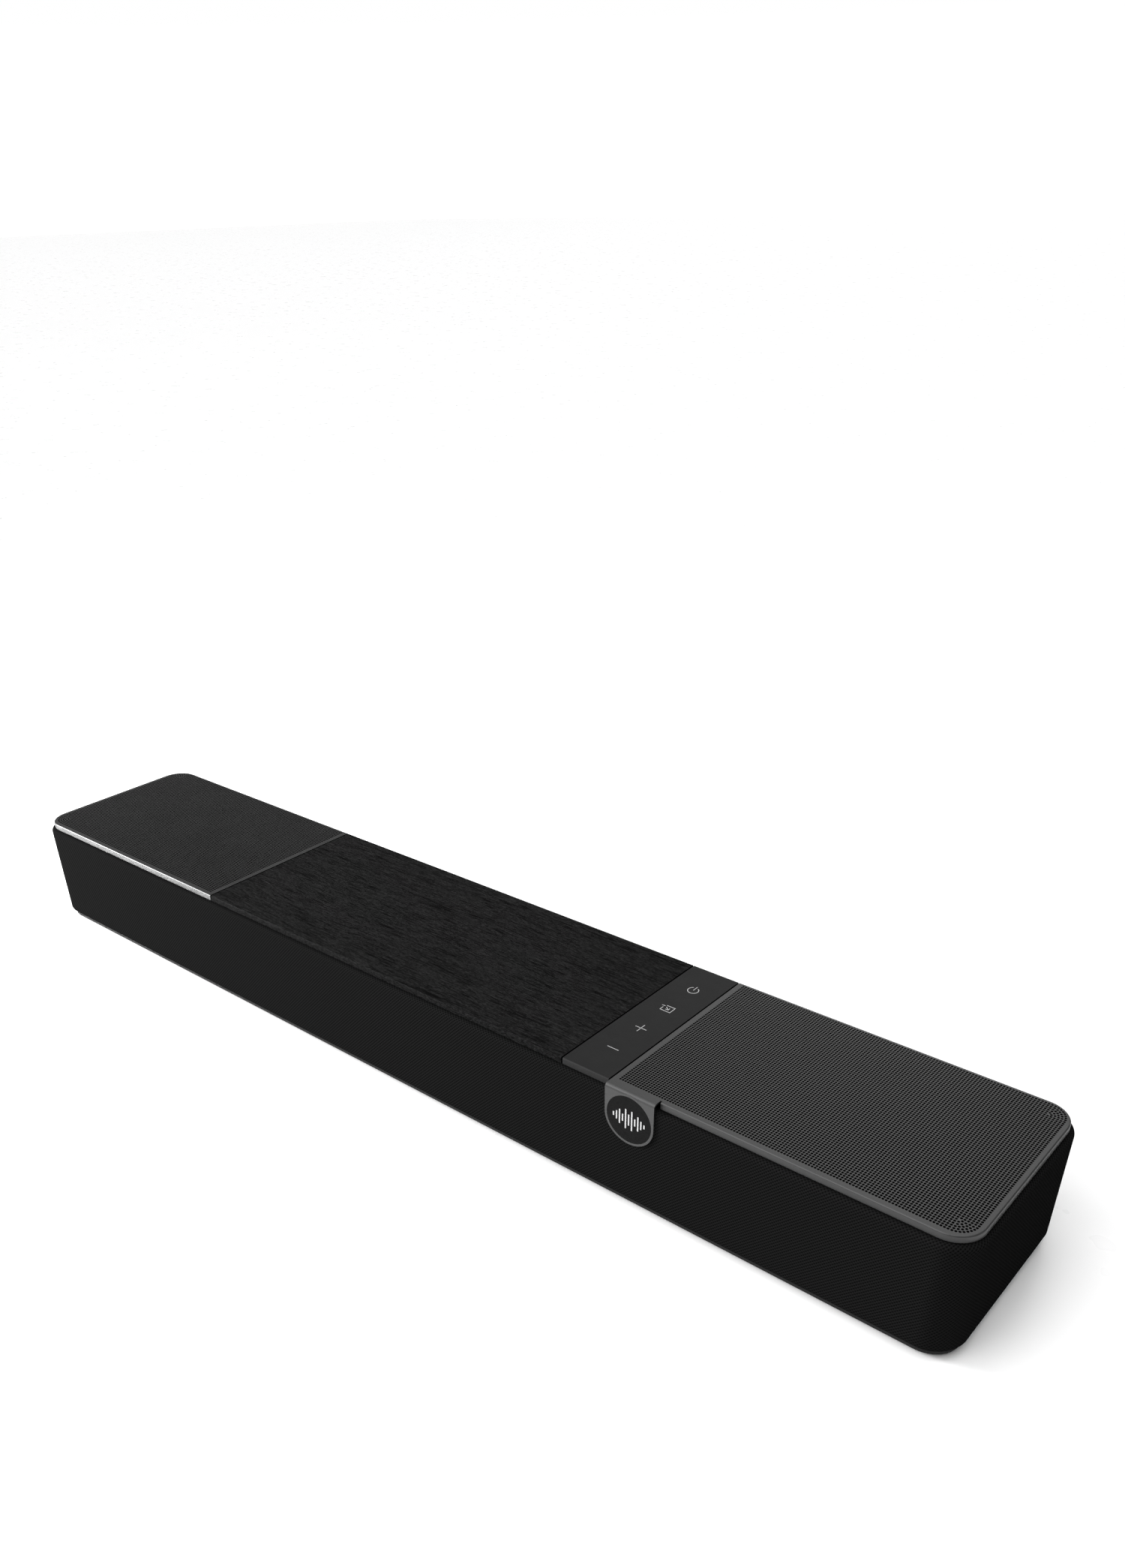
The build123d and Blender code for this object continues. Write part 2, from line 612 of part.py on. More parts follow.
with BuildPart() as right_top_grille:
    add(cap(SEAM_RIGHT + SEAM / 2, LENGTH))
    # The rim stops at the tab, and a slit lets the tab bend on its own
    block((SEAM_RIGHT, -DEPTH, 0), (tab_high_x, rim_stop_y, CAP_UNDER), Mode.SUBTRACT)
    block((tab_high_x, -DEPTH, 0), (tab_high_x + TAB_SLIT, TAB_ROOT_Y, HEIGHT), Mode.SUBTRACT)
    with BuildSketch(Plane.YZ.offset(TAB_LOW_X)):
        with BuildLine():
            FilletPolyline(
                (TAB_ROOT_Y, HEIGHT),
                (tab_front_y, HEIGHT),
                (tab_front_y, TAB_CENTRE_Z),
                radius=TAB_BEND,
            )
            FilletPolyline(
                (TAB_ROOT_Y, CAP_UNDER),
                (TAB_BACK_Y, CAP_UNDER),
                (TAB_BACK_Y, TAB_CENTRE_Z),
                radius=TAB_BEND - TAB_THICK,
            )
            Line((TAB_ROOT_Y, HEIGHT), (TAB_ROOT_Y, CAP_UNDER))
            Line((tab_front_y, TAB_CENTRE_Z), (TAB_BACK_Y, TAB_CENTRE_Z))
        make_face()
    extrude(amount=TAB_WIDTH)
    with BuildSketch(Plane.XZ.offset(-TAB_BACK_Y)):
        with Locations((tab_centre_x, TAB_CENTRE_Z)):
            Circle(TAB_WIDTH / 2)
    extrude(amount=TAB_THICK)
    with BuildSketch(Plane.XZ.offset(-badge_seat_y)):
        with Locations((tab_centre_x, TAB_CENTRE_Z)):
            Circle(BADGE_R + BADGE_GAP)
    extrude(amount=badge_seat_y - tab_front_y, mode=Mode.SUBTRACT)
save(right_top_grille, "right_top_grille")

with BuildPart() as badge_disc:
    with BuildSketch(Plane.XZ.offset(-tab_front_y - BADGE_THICK)):
        with Locations((tab_centre_x, TAB_CENTRE_Z)):
            Circle(BADGE_R)
    extrude(amount=BADGE_THICK)
save(badge_disc, "badge_disc")


# Keys, switches and control board -------------------------------------------------------------------
control_top = DECK_TOP + CONTROL_BOARD
switch_top = control_top + SWITCH
flange_top = key_plate_z - KEY_PLAY

for key_name, key_y in KEY_PLACES.items():
    with BuildPart() as key:
        rods([(KEY_X, key_y)], KEY_R, flange_top, CAP_UNDER - KEY_REST)
        rods([(KEY_X, key_y)], KEY_FLANGE_R, flange_top - KEY_FLANGE, flange_top)
        rods([(KEY_X, key_y)], KEY_STEM_R, switch_top + KEY_TRAVEL, flange_top - KEY_FLANGE)
    save(key, key_name)

with BuildPart() as control_board:
    block((CONTROL_LOW_X, -CONTROL_HALF, DECK_TOP), (CONTROL_HIGH_X, CONTROL_HALF, control_top))
    holes = [(KEY_X, -CONTROL_HOLE_Y), (KEY_X, CONTROL_HOLE_Y)]
    rods(holes, SCREW_R, DECK_TOP, control_top, Mode.SUBTRACT)
    # Low dome switches, one under each key
    with BuildSketch(Plane.XY.offset(control_top)):
        with Locations(*key_points):
            RectangleRounded(SWITCH_SIDE, SWITCH_SIDE, 0.8)
    extrude(amount=SWITCH)
save(control_board, "control_board")


# Loudspeakers ---------------------------------------------------------------------------------------
def axial_plane(centre, outward, height):
    """Plane square to a driver's axis, at a height above its seat."""
    origin = Vector(*centre) + Vector(*outward) * height
    return Plane(origin=origin, x_dir=(1, 0, 0), z_dir=outward)


def profile_plane(centre, outward):
    """Half-section plane: sketch X is the radius and sketch Y is the height along the axis."""
    across = Vector(1, 0, 0)
    return Plane(origin=centre, x_dir=across, z_dir=across.cross(Vector(*outward)))


def turned(centre, outward, points, mode=Mode.ADD):
    """Solid turned about a driver's axis from (radius, height) points."""
    with BuildSketch(profile_plane(centre, outward)) as profile:
        with BuildLine():
            Polyline(*points, close=True)
        make_face()
    revolve(profile.sketch, axis=Axis(centre, outward), mode=mode)


def ring(centre, outward, inner, outer, low, high, mode=Mode.ADD):
    """Flat ring about a driver's axis."""
    points = [(inner, low), (outer, low), (outer, high), (inner, high)]
    turned(centre, outward, points, mode)


def make_basket(size, centre, outward, name):
    """Pressed frame: flange, windowed cone wall and a floor that the motor is riveted to."""
    flange_in = size.roll_out - 1.0
    floor_h = size.plate_h
    ledge_h = size.spider_h
    wall = BASKET_WALL
    bend_h = ledge_h * 0.4
    with BuildPart() as basket:
        turned(centre, outward, [
            (flange_in, size.flange), (size.flange_r, size.flange), (size.flange_r, 0),
            (flange_in + wall, 0), (flange_in - 1 + wall, bend_h), (size.ledge_r + wall, ledge_h),
            (size.ledge_r + wall, floor_h), (size.neck_r + 1.0, floor_h),
            (size.neck_r + 1.0, floor_h + wall), (size.ledge_r, floor_h + wall),
            (size.ledge_r, ledge_h - wall), (size.spider_r, ledge_h - wall),
            (size.spider_r, ledge_h), (size.ledge_r, ledge_h), (flange_in - 1, bend_h),
        ])
        window = 0.7 * (flange_in - size.ledge_r)
        window_r = (size.ledge_r + wall + flange_in - 1) / 2
        with BuildSketch(axial_plane(centre, outward, ledge_h + 1.0)):
            with PolarLocations(window_r, BASKET_WINDOWS):
                RectangleRounded(window, window_r * 0.62, window * 0.15)
        extrude(amount=abs(ledge_h) * 0.8 - 1.0, mode=Mode.SUBTRACT)
        with BuildSketch(axial_plane(centre, outward, 0)):
            with PolarLocations(size.screw_circle_r, 4, start_angle=45):
                Circle(DRIVER_SCREW_R + PILOT_GAP)
        extrude(amount=size.flange, mode=Mode.SUBTRACT)
    save(basket, f"{name}_basket")


def make_motor(size, centre, outward, name):
    """Front plate, ring magnet and yoke with its pole."""
    plate_low = size.plate_h - size.plate
    magnet_low = plate_low - size.magnet
    with BuildPart() as plate:
        ring(centre, outward, size.neck_r + 1.0, size.plate_r, plate_low, size.plate_h)
    save(plate, f"{name}_front_plate")
    with BuildPart() as magnet:
        ring(centre, outward, size.magnet_bore_r, size.magnet_r, magnet_low, plate_low)
    save(magnet, f"{name}_magnet")
    with BuildPart() as yoke:
        turned(centre, outward, [
            (0, magnet_low - size.yoke), (size.yoke_r - 1, magnet_low - size.yoke),
            (size.yoke_r, magnet_low - size.yoke + 1), (size.yoke_r, magnet_low),
            (size.pole_r, magnet_low), (size.pole_r, size.plate_h), (0, size.plate_h),
        ])
    save(yoke, f"{name}_yoke")


def make_cone(size, centre, outward, name):
    """Cone, dust cap, voice-coil former and coil: the piece that moves."""
    sheet = size.sheet
    rim_h = size.flange
    rim_in = size.roll_in - 1.5
    former_in = size.neck_r - FORMER_WALL
    former_low = size.neck_h - size.former
    slope = (rim_h - size.neck_h) / (rim_in - former_in)

    def glued(radius):
        """Height half way through the cone's sheet, where the dust cap is glued in."""
        return size.neck_h + sheet / 2 + slope * (radius - former_in)

    def dome(radius):
        """Points from the glued edge to the top of a spherical cap."""
        rise = size.cap_rise
        sphere = (radius**2 + rise**2) / (2 * rise)
        half = asin(radius / sphere) / 2
        top = glued(radius) + rise
        return (radius, glued(radius)), (sphere * sin(half), top - sphere * (1 - cos(half))), (0, top)

    outer_dome, inner_dome = dome(size.cap_r), dome(size.cap_r - 1.0)
    with BuildPart() as cone:
        turned(centre, outward, [
            (size.neck_r, size.neck_h), (rim_in, rim_h), (size.roll_in, rim_h),
            (size.roll_in, rim_h + sheet), (rim_in, rim_h + sheet),
            (former_in, size.neck_h + sheet), (former_in, former_low), (size.neck_r, former_low),
        ])
        ring(
            centre, outward, size.neck_r - 0.1, size.neck_r + COIL_WIRE,
            former_low + 0.5, former_low + 0.5 + size.coil,
        )
        with BuildSketch(profile_plane(centre, outward)):
            with BuildLine():
                ThreePointArc(*outer_dome)
                ThreePointArc(*inner_dome)
                Line(outer_dome[0], inner_dome[0])
                Line(outer_dome[2], inner_dome[2])
            make_face()
        revolve(axis=Axis(centre, outward))
    save(cone, f"{name}_cone")


def make_surround(size, centre, outward, name):
    """Half-roll rubber suspension between the cone's edge and the flange."""
    low = size.flange + size.sheet + GLUE_GAP
    high = low + size.sheet
    middle = (size.roll_in + size.roll_out) / 2
    roll_r = (size.roll_out - size.roll_in) / 2
    inner, outer = size.roll_in - 1.5, size.roll_out + size.lip
    left, right = size.roll_in - size.sheet, size.roll_out + size.sheet
    with BuildPart() as surround:
        with BuildSketch(profile_plane(centre, outward)):
            with BuildLine():
                Line((inner, low), (size.roll_in, low))
                ThreePointArc((size.roll_in, low), (middle, low + roll_r), (size.roll_out, low))
                Polyline(
                    (size.roll_out, low), (size.roll_out, size.flange), (outer, size.flange),
                    (outer, high), (right, high),
                )
                ThreePointArc((right, high), (middle, high + roll_r), (left, high))
                Polyline((left, high), (inner, high), (inner, low))
            make_face()
        revolve(axis=Axis(centre, outward))
    save(surround, f"{name}_surround")


def make_spider(size, centre, outward, name):
    """Corrugated disc that centres the voice coil."""
    inner = size.neck_r + COIL_WIRE + 0.15
    low = size.spider_h
    waves = 4
    pitch = (size.spider_r - inner) / (2 * waves)
    tops = [(inner + i * pitch, low + (0.0 if i % 2 == 0 else 0.9)) for i in range(2 * waves + 1)]
    under = [(r, h + 0.4) for r, h in reversed(tops)]
    edge = [(size.ledge_r - 0.2, low), (size.ledge_r - 0.2, low + 0.4)]
    with BuildPart() as spider:
        turned(centre, outward, tops + edge + under)
    save(spider, f"{name}_spider")


def make_driver(size, centre, outward, name):
    """All the pieces of one loudspeaker."""
    make_basket(size, centre, outward, name)
    make_motor(size, centre, outward, name)
    make_cone(size, centre, outward, name)
    make_surround(size, centre, outward, name)


UP, FORWARD = (0, 0, 1), (0, -1, 0)
sub_centres = [(x, 0, sub_seat_z) for x, _ in sub_places]
full_centres = [(x, full_seat_y, z) for x, z in full_places]
for side_name, sub_centre, full_centre in zip(("left", "right"), sub_centres, full_centres):
    make_driver(SUBWOOFER, sub_centre, UP, f"{side_name}_subwoofer")
    make_spider(SUBWOOFER, sub_centre, UP, f"{side_name}_subwoofer")
    make_driver(FULL_RANGE, full_centre, FORWARD, f"{side_name}_full_range")

with BuildPart() as driver_gaskets:
    for size, centres, outward in ((SUBWOOFER, sub_centres, UP), (FULL_RANGE, full_centres, FORWARD)):
        for centre in centres:
            ring(centre, outward, size.hole_r, size.flange_r, -GASKET, 0)
            with BuildSketch(axial_plane(centre, outward, -GASKET)):
                with PolarLocations(size.screw_circle_r, 4, start_angle=45):
                    Circle(DRIVER_SCREW_R + PILOT_GAP)
            extrude(amount=GASKET, mode=Mode.SUBTRACT)
save(driver_gaskets, "driver_gaskets")


# Electronics ----------------------------------------------------------------------------------------
def board(low_x, high_x, chips, name):
    """Circuit board on four posts, with its chips as (x, y, width, depth, height)."""
    posts = [(x, y) for x, y in board_posts if low_x < x < high_x]
    with BuildPart() as piece:
        block((low_x, BOARD_FRONT, BOARD_Z), (high_x, BOARD_REAR, BOARD_TOP))
        for x, y, width, depth, height in chips:
            block(
                (x - width / 2, y - depth / 2, BOARD_TOP),
                (x + width / 2, y + depth / 2, BOARD_TOP + height),
            )
        rods(posts, SCREW_R + PILOT_GAP, BOARD_Z, BOARD_TOP, Mode.SUBTRACT)
    save(piece, name)


plug_x_places = (2, 59)
board(
    MAIN_LOW_X,
    MAIN_HIGH_X,
    [
        (*AMPLIFIER, 12, 12, CHIP), (22, 8, 14, 14, CHIP), (46, 8, 10, 10, 1.0),
        *((x, SUB_WIRE_Y, 6, 10, PLUG_HIGH) for x in plug_x_places),
        *((x, FULL_WIRE_Y, 6, 5, PLUG_HIGH) for x in plug_x_places),
    ],
    "main_board",
)
board(POWER_LOW_X, POWER_HIGH_X, [(-31, 14, 10, 12, 10), (-54, 14, 14, 8, 9)], "power_board")

def board_box(place, size, low, high):
    """Box centred on a plan position, between two heights over the board."""
    with Locations((*place, BOARD_TOP + (low + high) / 2)):
        Box(*size, high - low)


with BuildPart() as transformer:
    tx, ty = TRANSFORMER
    leg_x = (CORE[0] - CORE_LEG[0]) / 2
    board_box(TRANSFORMER, CORE, 0, CORE_YOKE)
    board_box(TRANSFORMER, BOBBIN, CORE_YOKE, TRANSFORMER_HIGH - CORE_YOKE)
    board_box(TRANSFORMER, CORE, TRANSFORMER_HIGH - CORE_YOKE, TRANSFORMER_HIGH)
    for place in ((tx - leg_x, ty), (tx + leg_x, ty)):
        board_box(place, CORE_LEG, CORE_YOKE, TRANSFORMER_HIGH - CORE_YOKE)
save(transformer, "transformer")

with BuildPart() as capacitors:
    rods(CAPACITOR_PLACES, CAPACITOR_R, BOARD_TOP, BOARD_TOP + CAPACITOR_HIGH)
    fillet(capacitors.faces().filter_by(Axis.Z).group_by(Axis.Z)[-1].edges(), 1.0)
save(capacitors, "capacitors")

with BuildPart() as amplifier_heatsink:
    base_high = CHIP + HEATSINK_BASE
    board_box(AMPLIFIER, HEATSINK, CHIP, base_high)
    fin_run = HEATSINK[0] - FIN
    for fin in range(FINS):
        fin_x = AMPLIFIER[0] - fin_run / 2 + fin * fin_run / (FINS - 1)
        board_box((fin_x, AMPLIFIER[1]), (FIN, HEATSINK[1]), base_high, CHIP + HEATSINK_HIGH)
save(amplifier_heatsink, "amplifier_heatsink")


def socket_body(name):
    """Outer block of a socket, from behind its face to its face."""
    place, width, height = SOCKETS[name]
    block(
        (place - width / 2, SOCKET_FACE_Y - SOCKET_DEPTH, BOARD_TOP),
        (place + width / 2, SOCKET_FACE_Y, BOARD_TOP + height),
    )


def shell_socket(name, wall, tongue_low, tongue_high):
    """Metal shell open to the rear, with a contact tongue inside."""
    place, width, height = SOCKETS[name]
    low_y = SOCKET_FACE_Y - SOCKET_DEPTH
    with BuildPart() as socket:
        socket_body(name)
        block(
            (place - width / 2 + wall, low_y + 3, BOARD_TOP + wall),
            (place + width / 2 - wall, SOCKET_FACE_Y, BOARD_TOP + height - wall),
            Mode.SUBTRACT,
        )
        block(
            (place - width / 2 + 1.2, low_y + 2, BOARD_TOP + tongue_low),
            (place + width / 2 - 1.2, SOCKET_FACE_Y - 2, BOARD_TOP + tongue_high),
        )
    save(socket, name)


shell_socket("hdmi_socket", 0.5, 2.4, 3.4)
shell_socket("usb_socket", 0.4, 3.2, 5.0)

with BuildPart() as optical_socket:
    optical_x, _, optical_height = SOCKETS["optical_socket"]
    socket_body("optical_socket")
    with Locations((optical_x, SOCKET_FACE_Y - 0.5, BOARD_TOP + optical_height / 2)):
        Box(SHUTTER, 1.0, SHUTTER, mode=Mode.SUBTRACT)
    with Locations((optical_x, SOCKET_FACE_Y - 0.7, BOARD_TOP + optical_height / 2)):
        Box(SHUTTER - 2, 0.6, SHUTTER - 2)
save(optical_socket, "optical_socket")

with BuildPart() as subwoofer_socket:
    jack = [(SOCKETS["subwoofer_socket"][0], BOARD_TOP + JACK_HIGH)]
    jack_end = SOCKET_FACE_Y + JACK_LENGTH
    socket_body("subwoofer_socket")
    rear_rods(jack, JACK_R, SOCKET_FACE_Y, jack_end)
    rear_rods(jack, JACK_BORE_R, jack_end - JACK_BORE, jack_end, Mode.SUBTRACT)
save(subwoofer_socket, "subwoofer_socket")

with BuildPart() as ac_inlet:
    inlet_x, _, inlet_height = SOCKETS["ac_inlet"]
    inlet_z = BOARD_TOP + inlet_height / 2
    socket_body("ac_inlet")
    with BuildSketch(Plane.XZ.offset(-SOCKET_FACE_Y)):
        with Locations((inlet_x, inlet_z)):
            SlotOverall(*INLET_SLOT)
    extrude(amount=INLET_RECESS, mode=Mode.SUBTRACT)
    pins = [(inlet_x - PIN_SPACING / 2, inlet_z), (inlet_x + PIN_SPACING / 2, inlet_z)]
    rear_rods(pins, PIN_R, SOCKET_FACE_Y - INLET_RECESS - BITE, SOCKET_FACE_Y - 1.5)
save(ac_inlet, "ac_inlet")

with BuildPart() as indicator_board:
    board_y = cabinet_front + CABINET_WALL
    middle_z = (WINDOW_LOW + WINDOW_HIGH) / 2
    block(
        (-WINDOW_HALF - 5, board_y, WINDOW_LOW - 2),
        (WINDOW_HALF + 5, board_y + CONTROL_BOARD, WINDOW_HIGH + 2),
    )
    with Locations((RECEIVER_X, board_y - 1, middle_z)):
        Box(6, 2, 5)
    with Locations(*((x, board_y - 0.5, middle_z) for x in LIGHT_PLACES)):
        Box(2, 1, 2)
save(indicator_board, "indicator_board")


# Wires and fasteners --------------------------------------------------------------------------------
def wire(points):
    """Round two-core lead along straight runs joined by tangent arcs."""
    runs = [Vector(*b) - Vector(*a) for a, b in zip(points, points[1:])]
    radii = []
    for before, after in zip(runs, runs[1:]):
        half_turn = radians(before.get_angle(after) / 2)
        radii.append(min(WIRE_BEND, 0.45 * min(before.length, after.length) / tan(half_turn)))
    with BuildPart() as lead:
        with BuildLine() as path:
            FilletPolyline(*points, radius=radii)
        with BuildSketch(Plane(origin=points[0], z_dir=runs[0])):
            Circle(WIRE_R)
        sweep(path=path.line)
    return lead.part


sub_terminal = SUB_X - SUBWOOFER.ledge_r - BASKET_WALL
full_terminal = FULL_X - FULL_RANGE.ledge_r - BASKET_WALL
full_terminal_y = full_seat_y - (FULL_RANGE.spider_h + FULL_RANGE.plate_h) / 2
plug_z = BOARD_TOP + PLUG_HIGH / 2
with BuildPart() as speaker_wires:
    for side, plug_x, rise_x in ((-1, -1.0, -7.0), (1, 62.0, 71.0)):
        sub_x, full_x = side * SUB_WIRE_X, side * FULL_WIRE_X
        add(wire([
            (side * sub_terminal, SUB_WIRE_Y, SUB_WIRE_Z), (sub_x, SUB_WIRE_Y, SUB_WIRE_Z),
            (sub_x, SUB_WIRE_Y, WIRE_Z), (rise_x, SUB_WIRE_Y, WIRE_Z),
            (rise_x, SUB_WIRE_Y, plug_z), (plug_x, SUB_WIRE_Y, plug_z),
        ]))
        add(wire([
            (side * full_terminal, full_terminal_y, FULL_Z), (full_x, full_terminal_y, FULL_Z),
            (full_x, FULL_WIRE_Y, FULL_Z), (full_x, FULL_WIRE_Y, WIRE_Z),
            (rise_x, FULL_WIRE_Y, WIRE_Z), (rise_x, FULL_WIRE_Y, plug_z),
            (plug_x, FULL_WIRE_Y, plug_z),
        ]))
save(speaker_wires, "speaker_wires")


def screw(centre, outward, shank_r, head_r, head_low, length):
    """Screw whose head stands on a seat head_low below the centre, with a driver recess."""
    head_top = SCREW_HEAD - head_low
    turned(centre, outward, [
        (0, -length), (shank_r * 0.5, -length), (shank_r, -length + SCREW_HEAD),
        (shank_r, -head_low), (head_r, -head_low), (head_r, head_top), (0, head_top),
    ])
    with BuildSketch(axial_plane(centre, outward, head_top)) as recess:
        RegularPolygon(shank_r * 0.7, 6)
    extrude(recess.sketch, amount=-0.7, mode=Mode.SUBTRACT)


DOWN, BACKWARD = (0, 0, -1), (0, 1, 0)
with BuildPart() as case_screws:
    for x, y in COLUMNS:
        screw((x, y, FOOT_HEIGHT), DOWN, SCREW_R, SCREW_HEAD_R, BASE_SCREW_SEAT, SCREW_LENGTH)
        screw((x, y, DECK_TOP), UP, SCREW_R, SCREW_HEAD_R, SCREW_SEAT, SCREW_LENGTH)
    for x, z in COVER_SCREWS:
        screw((x, rear_y, z), BACKWARD, SCREW_R, SCREW_HEAD_R, SCREW_SEAT, SCREW_LENGTH)
    for x, y in board_posts:
        screw((x, y, BOARD_TOP), UP, SCREW_R, SCREW_HEAD_R, 0.0, BOARD_SCREW_LENGTH)
save(case_screws, "case_screws")

with BuildPart() as driver_screws:
    for size, centres, outward in ((SUBWOOFER, sub_centres, UP), (FULL_RANGE, full_centres, FORWARD)):
        for centre in centres:
            flat = axial_plane(centre, outward, size.flange)
            with PolarLocations(size.screw_circle_r, 4, start_angle=45) as spots:
                heads = [flat.from_local_coords(spot.position) for spot in spots.locations]
            for head in heads:
                screw(
                    tuple(head), outward, DRIVER_SCREW_R, DRIVER_SCREW_HEAD_R, 0.0, DRIVER_SCREW_LENGTH
                )
save(driver_screws, "driver_screws")
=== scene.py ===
"""Looks of the soundbar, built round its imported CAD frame. Lengths are metres in the row frame."""

import math

import bmesh
import bpy
from mathutils import Matrix, Vector
from mathutils.geometry import delaunay_2d_cdt
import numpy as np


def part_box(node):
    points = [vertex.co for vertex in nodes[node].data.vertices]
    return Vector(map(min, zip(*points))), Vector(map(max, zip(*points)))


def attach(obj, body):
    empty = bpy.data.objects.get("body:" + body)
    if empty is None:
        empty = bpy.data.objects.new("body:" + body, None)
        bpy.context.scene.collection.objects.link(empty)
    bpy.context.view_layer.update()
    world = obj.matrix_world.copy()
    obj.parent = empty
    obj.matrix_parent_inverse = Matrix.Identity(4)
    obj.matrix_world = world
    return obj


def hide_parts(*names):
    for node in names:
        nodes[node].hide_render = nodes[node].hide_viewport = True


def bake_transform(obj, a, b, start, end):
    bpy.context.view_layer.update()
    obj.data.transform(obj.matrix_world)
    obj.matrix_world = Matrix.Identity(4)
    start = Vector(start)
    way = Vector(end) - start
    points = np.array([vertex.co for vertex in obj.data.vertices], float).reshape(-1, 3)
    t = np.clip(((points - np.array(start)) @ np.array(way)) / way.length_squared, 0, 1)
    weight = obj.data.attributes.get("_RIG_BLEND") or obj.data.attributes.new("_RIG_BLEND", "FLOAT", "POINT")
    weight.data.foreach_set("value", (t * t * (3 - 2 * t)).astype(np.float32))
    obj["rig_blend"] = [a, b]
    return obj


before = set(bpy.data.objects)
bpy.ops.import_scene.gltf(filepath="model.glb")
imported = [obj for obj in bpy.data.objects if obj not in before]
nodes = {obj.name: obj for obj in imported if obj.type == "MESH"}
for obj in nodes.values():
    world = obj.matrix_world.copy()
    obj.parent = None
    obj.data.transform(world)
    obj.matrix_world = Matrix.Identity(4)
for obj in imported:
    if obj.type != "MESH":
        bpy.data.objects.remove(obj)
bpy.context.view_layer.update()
MM = 0.001

# Camera: where it stands, the way it looks in degrees, its lens and sensor in millimetres, its shift
CAMERA_PLACE = (0.46933, -0.46348, 0.43985)
CAMERA_AZIMUTH, CAMERA_ELEVATION, CAMERA_ROLL = 41.056, 35.224, -1.39
LENS, SENSOR = 28.69, 36
SHIFT_X, SHIFT_Y = 0.0119, 0.1825

# Shades of the top plates: how far a face turns along Y or X while one shade gives way to the next
RIM_TURN = (0.3, 0.7)
CUT_TURN = (0.9, 0.95)
# near-black painted shade for the cut faces in the seams, which lie in shade
SEAM_PAINTED_SHADE = 0.0005

# Scratches of brushed metal, by the axis that they run along
ALONG_X, ALONG_Y, ALONG_Z = (0.05, 1, 1), (1, 0.05, 1), (1, 1, 0.05)

# Perforation of the two top grilles: holes on a square grid, laid on arcs round the outer corners
PITCH = 1.605 * MM
HOLE_R = 0.69 * MM
ROWS = 71
FRONT_ROW_Y = -55.5 * MM
ARC_RINGS = 6
GRILLES = {
    "left": {"first_x": -165.95 * MM, "columns": 115, "side": -1},
    "right": {"first_x": 164.75 * MM, "columns": 116, "side": 1},
}
WELD = 1e-6
FLAT = 2e-6  # how far a point may lie from a flat face's height and still be on it
LEVEL = 0.999  # a face whose normal is this near to straight up or down is flat
SEAM_SIDE = 0.9  # a face whose normal is this near to the seam's way is a cut face in the seam
IN_HOLE = 0.9 * HOLE_R  # a triangle whose middle is this near to a hole's centre would fill the hole
KEY_SCALE = 1e8  # points that agree to this part of a metre are one point
ALL_TRIANGLES, CDT_TOLERANCE = 0, 1e-6  # for the triangulation, which works in millimetres
SHARP = math.radians(50)

# Cloth wrap
CLOTH_THICK = 0.8 * MM
CLOTH_CORNER = 18 * MM
SHOULDER = 2.5 * MM
HEEL = 3.1 * MM
LIP = 5.0 * MM
GAP_ROOM = 0.3 * MM
WEAVE = 2.0 * MM  # repeat of the woven pattern, along and up
STATION_STEP = 4 * MM  # distance between stations on the straight runs
CORNER_STEPS, EDGE_STEPS, WALL_STEPS = 24, 8, 14  # round a corner, round a lip's radius, up the flat wall

# Studio: each glow runs between two heights on the unit sky, from one strength to the other
HORIZON_GLOW = (0.06, 0.3, 1.1, 0.12)
OVERHEAD_GLOW = (0.7, 0.85, 0.0, 1.9)
FLOOR_HALF = 20

# Driver suspensions: the axis that each cone slides on, and how wide the glued edges are, outside and inside
SUSPENSIONS = {
    "subwoofer_surround": {"axis": 2, "fixed": 2.4 * MM, "moving": 1.5 * MM, "slot": "surround_rubber"},
    "subwoofer_spider": {"axis": 2, "fixed": 3.8 * MM, "moving": 0.5 * MM, "slot": "spider_cloth"},
    "full_range_surround": {"axis": 1, "fixed": 1.5 * MM, "moving": 1.5 * MM, "slot": "surround_rubber"},
}

# Printed marks
PRINT_HIGH = 0.04 * MM
ICON_STROKE = 0.42 * MM
# The badge's bars, in millimetres: half the height of each, their spacing and their width
BAR_HALVES = (1.2, 2.6, 4.4, 2.2, 6.0, 3.4, 6.0, 2.2, 4.4, 2.6, 1.2)
BAR_PITCH, BAR_WIDTH = 1.9, 0.75


# Camera ---------------------------------------------------------------------------------------------
def make_camera():
    """A close wide view from the right, above the front edge, turned very slightly on its axis."""
    azimuth, elevation, roll = map(math.radians, (CAMERA_AZIMUTH, CAMERA_ELEVATION, CAMERA_ROLL))
    back = Vector((
        math.sin(azimuth) * math.cos(elevation),
        -math.cos(azimuth) * math.cos(elevation),
        math.sin(elevation),
    ))
    right = Vector((math.cos(azimuth), math.sin(azimuth), 0))
    up = back.cross(right)
    turned_right = math.cos(roll) * right + math.sin(roll) * up
    turned_up = math.cos(roll) * up - math.sin(roll) * right
    data = bpy.data.cameras.new("camera")
    data.lens, data.sensor_width = LENS, SENSOR
    data.shift_x, data.shift_y = SHIFT_X, SHIFT_Y
    data.clip_start = 0.01
    data.clip_end = 100
    camera = bpy.data.objects.new("camera", data)
    bpy.context.scene.collection.objects.link(camera)
    camera.matrix_world = Matrix.Translation(CAMERA_PLACE) @ (
        Matrix((turned_right, turned_up, back)).transposed().to_4x4()
    )
    bpy.context.scene.camera = camera


